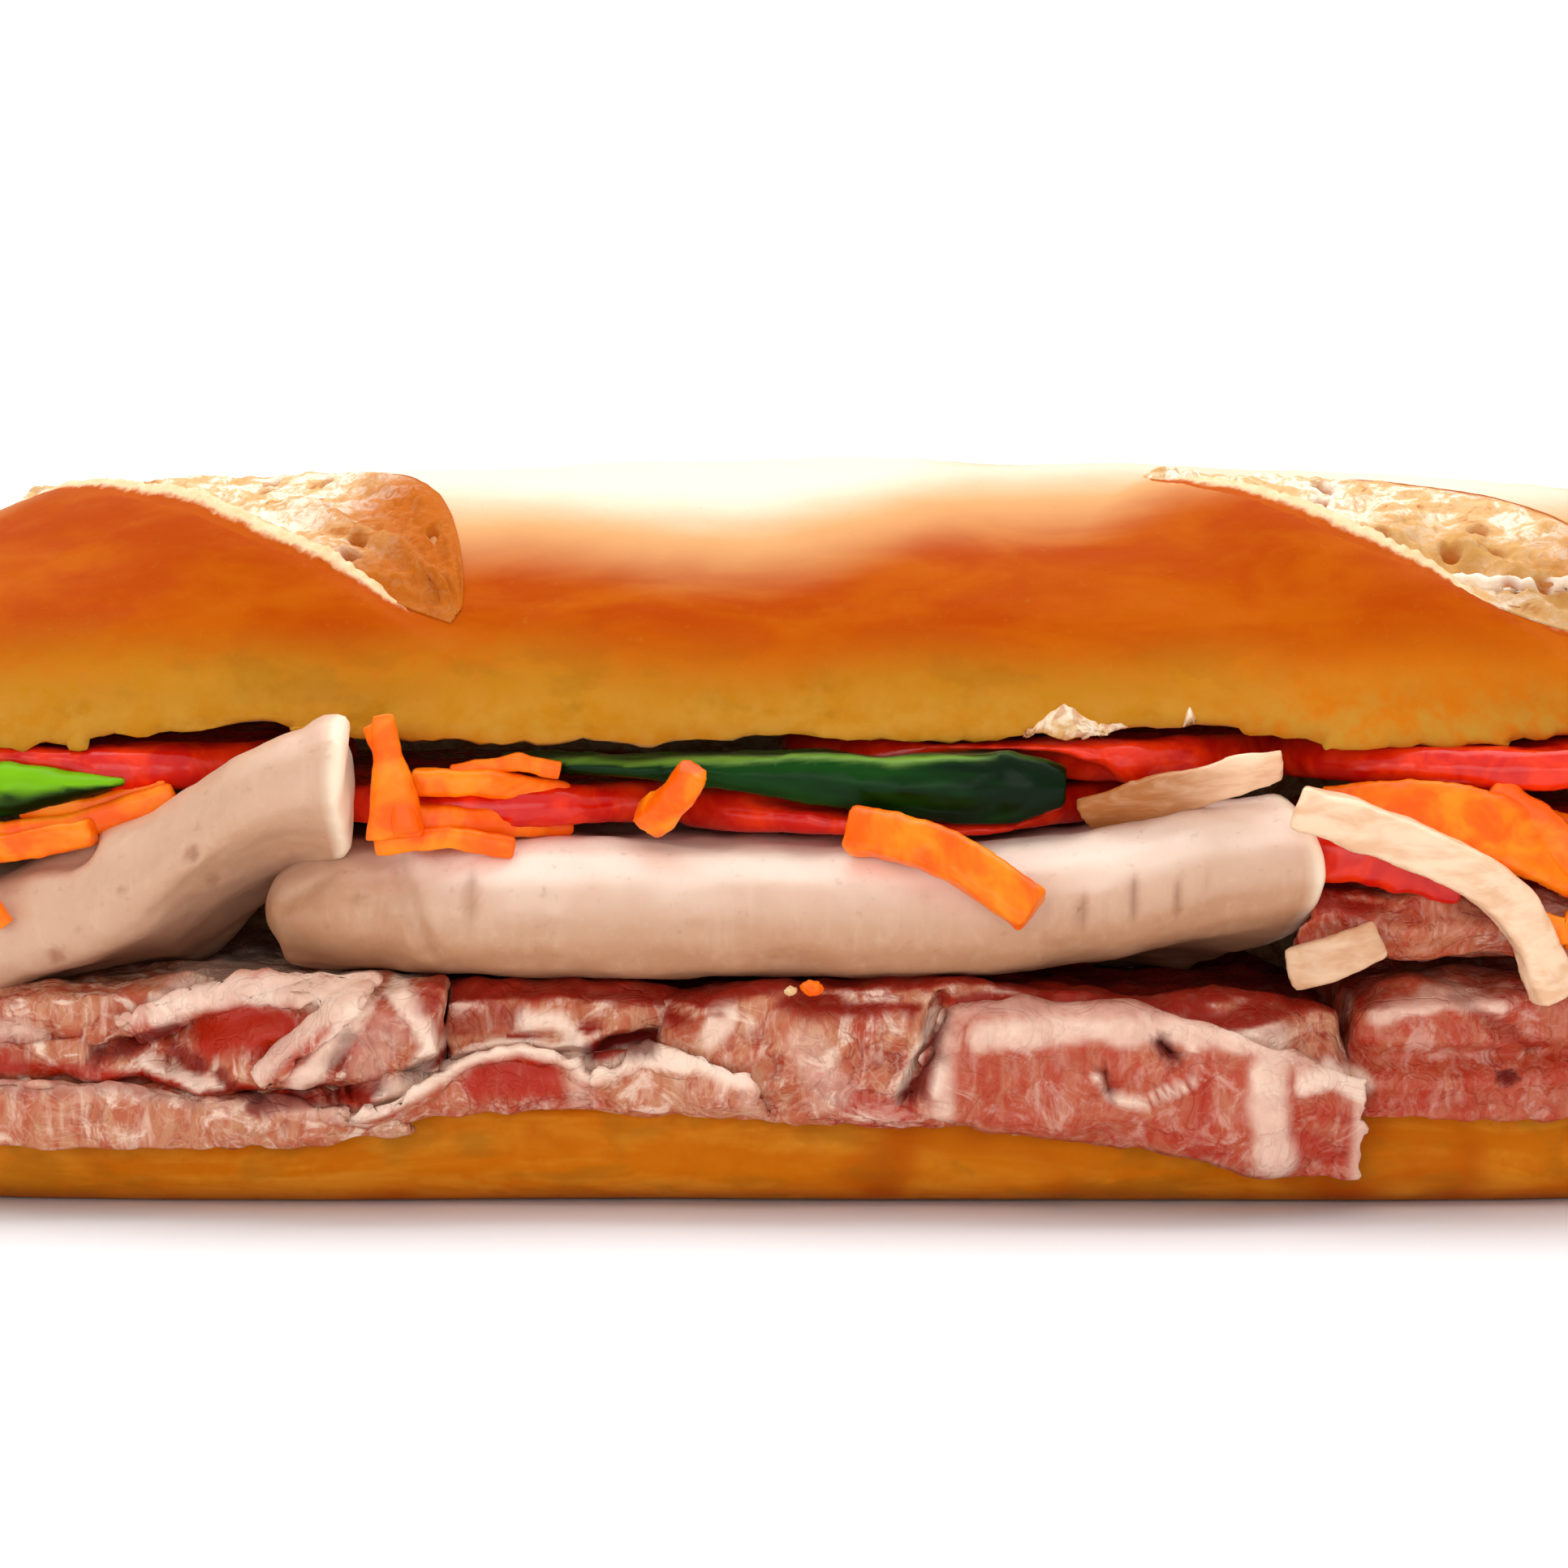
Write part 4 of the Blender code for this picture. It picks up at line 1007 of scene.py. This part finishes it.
def makeRoll(nodeName, rimAt, gloss, nose=None):
    # rimAt is where the cut end's pale rim starts, nose is the middle of a rounded other end
    piece = closedCopy(nodeName, nodeName + "Looks")
    if nose:
        bpy.ops.mesh.primitive_uv_sphere_add(segments=48, ring_count=32, radius=1 * mm, location=nose)
        tip = bpy.context.view_layer.objects.active
        tip.scale = (8.8, 8.0, 5.3)
        piece.select_set(True)
        bpy.context.view_layer.objects.active = piece
        bpy.ops.object.join()
    modify(piece, "REMESH", mode="VOXEL", voxel_size=0.62 * mm)
    modify(piece, "SMOOTH", factor=0.5, iterations=12)
    right = max(v.co.x for v in piece.data.vertices)

    def dent(place):
        deep = 0.0
        for x, z, wide, tall, depth in rollDents:
            gap = math.hypot((place.x / mm - x) / wide, (place.z / mm - z) / tall)
            deep = max(deep, (1 - ease(gap, 0.3, 1.2)) * depth)
        return deep

    def push(place, normal):
        front = ease(-normal.y, 0.0, 0.5)
        move = normal * (grain(place, 11 * mm, 8, 2) * 0.7 * mm + grain(place, 2.4 * mm, 2, 2) * 0.1 * mm)
        sink = dent(place) * mm
        for line, width, depth in rollCreases:
            away = nearLine(place.x / mm, place.z / mm, line)
            sink += (1 - ease(away, 0, width * mm)) * depth * mm
        move.y += sink * front
        if nose:
            swell = 2.0 - ((place.z / mm - 29.6) / 7) ** 2 * 3.5
            move.x += swell * mm * ease(place.x, right - 9 * mm, right)
        if nodeName == "pork_roll_left":
            x = place.x / mm
            low, high = (between(x, edge, True) for edge in leftPacked)
            newLow, newHigh = (between(x, edge, True) for edge in leftSettled)
            share = (place.z / mm - low) / (high - low)
            settled = (newLow + share * (newHigh - newLow)) * mm
            move.z += (settled - place.z) * ease(x, -80, -74)
        return move

    # painted highlight by how far a face turns up, and painted shade on the set-back nose
    def up(place, normal):
        return normal.z * gloss - 0.6 * bool(nose) * ease(-place.x, 35 * mm, 42 * mm)

    def rim(place, normal):
        return ease(place.x, rimAt, rimAt + 0.8 * mm) * ease(normal.x, -0.2, 0.5)

    remember(piece, "up", up)
    # pit: painted shade in the dents
    remember(piece, "pit", lambda place, normal: dent(place) * ease(-normal.y, 0.2, 0.6) * 0.8)
    remember(piece, "rim", rim)
    sculpt(piece, push)
    return settle(piece, roll, "pork_roll", nodeName)


for nodeName in ("pork_roll_left", "pork_roll_middle", "pork_roll_right"):
    end = max(v.co.x for v in nodes[nodeName].data.vertices)
    # how strong the painted highlight on top is
    gloss = 1.0 if nodeName == "pork_roll_middle" else 0.15
    nose = (-42 * mm, -26 * mm, 26.6 * mm) if nodeName == "pork_roll_middle" else None
    makeRoll(nodeName, end - 2.0 * mm, gloss, nose)
print("pork roll made")


# how each plain food looks: material, remeshing cell, smoothing, and how wide and high its dents are
looks = {
    "tomato": (tomato, 0.8 * mm, 3, 6 * mm, 0.4 * mm),
    "cucumber": (cucumber, 0.5 * mm, 3, 5 * mm, 0.3 * mm),
    "carrot": (carrot, 0.35 * mm, 3, 3 * mm, 0.25 * mm),
    "daikon": (daikon, 0.35 * mm, 10, 5 * mm, 0.35 * mm),
}
slots = {part["node"]: part["material_slot"] for part in frame["record"]["subparts"]}
for nodeName in sorted(nodes):
    slot = slots[nodeName]
    if slot in looks:
        plainPiece(nodeName, looks[slot][0], slot, *looks[slot][1:])

# more shreds: each one's food, its path in mm, its width and its thickness
shreds = {
    "carrotVee": ("carrot", [(-40.2, -34.6, 43.4), (-38.2, -35.0, 38.6), (-37.4, -35.2, 33.8)], 2.3, 1.6),
    "carrotBand": ("carrot", [(-40.4, -33.4, 32.6), (-34.0, -34.0, 33.4), (-28.2, -33.6, 32.4)], 1.9, 1.6),
    "carrotBack": ("carrot", [(-34.0, -30.5, 38.6), (-28.0, -30.8, 39.6), (-24.4, -30.5, 38.8)], 1.6, 1.4),
    "carrotFall": ("carrot", [(56.0, -32.6, 37.4), (60.5, -33.6, 34.4), (64.5, -34.2, 30.4)], 3.2, 1.3),
    "carrotTuck": ("carrot", [(58.4, -35.0, 26.6), (62.0, -35.6, 25.4), (66.5, -35.2, 25.8)], 2.4, 1.5),
    "carrotStart": ("carrot", [(-76.5, -33.0, 29.8), (-73.6, -33.6, 27.4), (-72.4, -33.4, 25.6)], 1.8, 1.3),
    "carrotRear": ("carrot", [(-77.0, -28.6, 32.4), (-68.0, -29.4, 33.4), (-58.0, -29.0, 36.4)], 2.8, 1.8),
    "carrotRearTwo": ("carrot", [(-72.0, -28.0, 35.0), (-65.0, -28.6, 35.6), (-59.0, -28.0, 37.6)], 1.6, 1.4),
    "carrotCross": ("carrot", [(66.0, -34.6, 33.6), (69.0, -35.4, 30.0), (71.5, -35.6, 26.4)], 2.2, 1.5),
    "tomatoTuck": ("tomato", [(40.5, -30.6, 31.4), (47.0, -32.4, 31.2), (54.0, -32.4, 29.6)], 4.6, 3.0),
}
for number, (name, (slot, path, wide, thick)) in enumerate(shreds.items()):
    settle(strand(name, path, wide * mm, thick * mm, number), looks[slot][0], slot)


def makeCrumb(name, at, size, look, slot, seed):
    # a small irregular lump: where and how big in mm
    bpy.ops.mesh.primitive_ico_sphere_add(subdivisions=4, radius=1.0, location=(0, 0, 0))
    lump = bpy.context.view_layer.objects.active
    lump.name = lump.data.name = name
    centre = Vector(at) * mm
    reach = Vector(size) * mm / 2

    def push(place, normal):
        long = 1 + 0.35 * grain(place + Vector((seed * 3.7, 0, 0)), 1.1, seed)
        target = centre + Vector((place.x * reach.x, place.y * reach.y, place.z * reach.z)) * long
        return target - place

    sculpt(lump, push)
    settle(lump, look, slot)


crumbs = (
    ("goldCrumb", (-2.6, -36.6, 20.7), (2.0, 1.6, 1.3), carrot, "carrot"),
    ("goldCrumbTwo", (-4.4, -36.4, 20.4), (1.0, 1.0, 0.8), torn, "crust"),
)
for number, (name, at, size, look, slot) in enumerate(crumbs):
    makeCrumb(name, at, size, look, slot, number)
print("filling made")


studio = {"lens": 100.0, "frameWidth": 0.1365, "elevation": 6.0,
          "aim": Vector((-5 * mm, -30 * mm, 37.6 * mm))}


def makeFloor():
    bpy.ops.mesh.primitive_plane_add(size=2.6, location=(0, 0, 0))
    floor = bpy.context.view_layer.objects.active
    floor.name = "floor"
    white = Finish("floorWhite", 0.8, Specular_IOR_Level=0.1)
    white.shader.inputs["Base Color"].default_value = (0.95, 0.97, 0.98, 1)
    floor.data.materials.append(white.material)
    floor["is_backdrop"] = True


def makeWorld():
    world = bpy.data.worlds.new("studioWalls")
    bpy.context.scene.world = world
    world.use_nodes = True
    wire = Wire(world.node_tree)
    direction = wire.node("TexCoord", {}, {}, "Generated")
    glow = wire.node("SeparateXYZ", {}, {0: direction}, "Z").between(-0.1, 0.9, 0.35, 1.0)
    seen = wire.node("LightPath", {}, {}, "Is Camera Ray")
    background = world.node_tree.nodes["Background"]
    world.node_tree.links.new((glow + seen).socket, background.inputs["Color"])


def areaLight(name, place, aim, size, power):
    lamp = bpy.data.lights.new(name, "AREA")
    lamp.shape = "RECTANGLE"
    lamp.size, lamp.size_y = size
    lamp.energy = power
    holder = bpy.data.objects.new(name, lamp)
    bpy.context.scene.collection.objects.link(holder)
    holder.location = place
    holder.rotation_euler = (Vector(aim) - Vector(place)).to_track_quat("-Z", "Y").to_euler()


def makeCamera():
    view = bpy.data.cameras.new("camera")
    view.lens = studio["lens"]
    view.sensor_width = 36
    view.clip_start = 0.01
    holder = bpy.data.objects.new("camera", view)
    bpy.context.scene.collection.objects.link(holder)
    distance = studio["frameWidth"] * studio["lens"] / view.sensor_width
    tilt = math.radians(studio["elevation"])
    away = Vector((0, -math.cos(tilt), math.sin(tilt)))
    holder.location = studio["aim"] + away * distance
    holder.rotation_euler = (-away).to_track_quat("-Z", "Y").to_euler()
    bpy.context.scene.camera = holder


makeFloor()
makeWorld()
areaLight("overhead", (0.0, 0.12, 0.60), (0, 0, 0.05), (0.9, 0.5), 2.9)
areaLight("frontSoft", (-0.1, -0.9, 0.22), (0, 0, 0.03), (1.0, 0.35), 2.4)
makeCamera()
bpy.context.scene.view_settings.view_transform = "Standard"
print("studio made")

size = {"cad": [list(corner) for corner in cadBox], "visual": [list(corner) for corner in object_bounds()]}
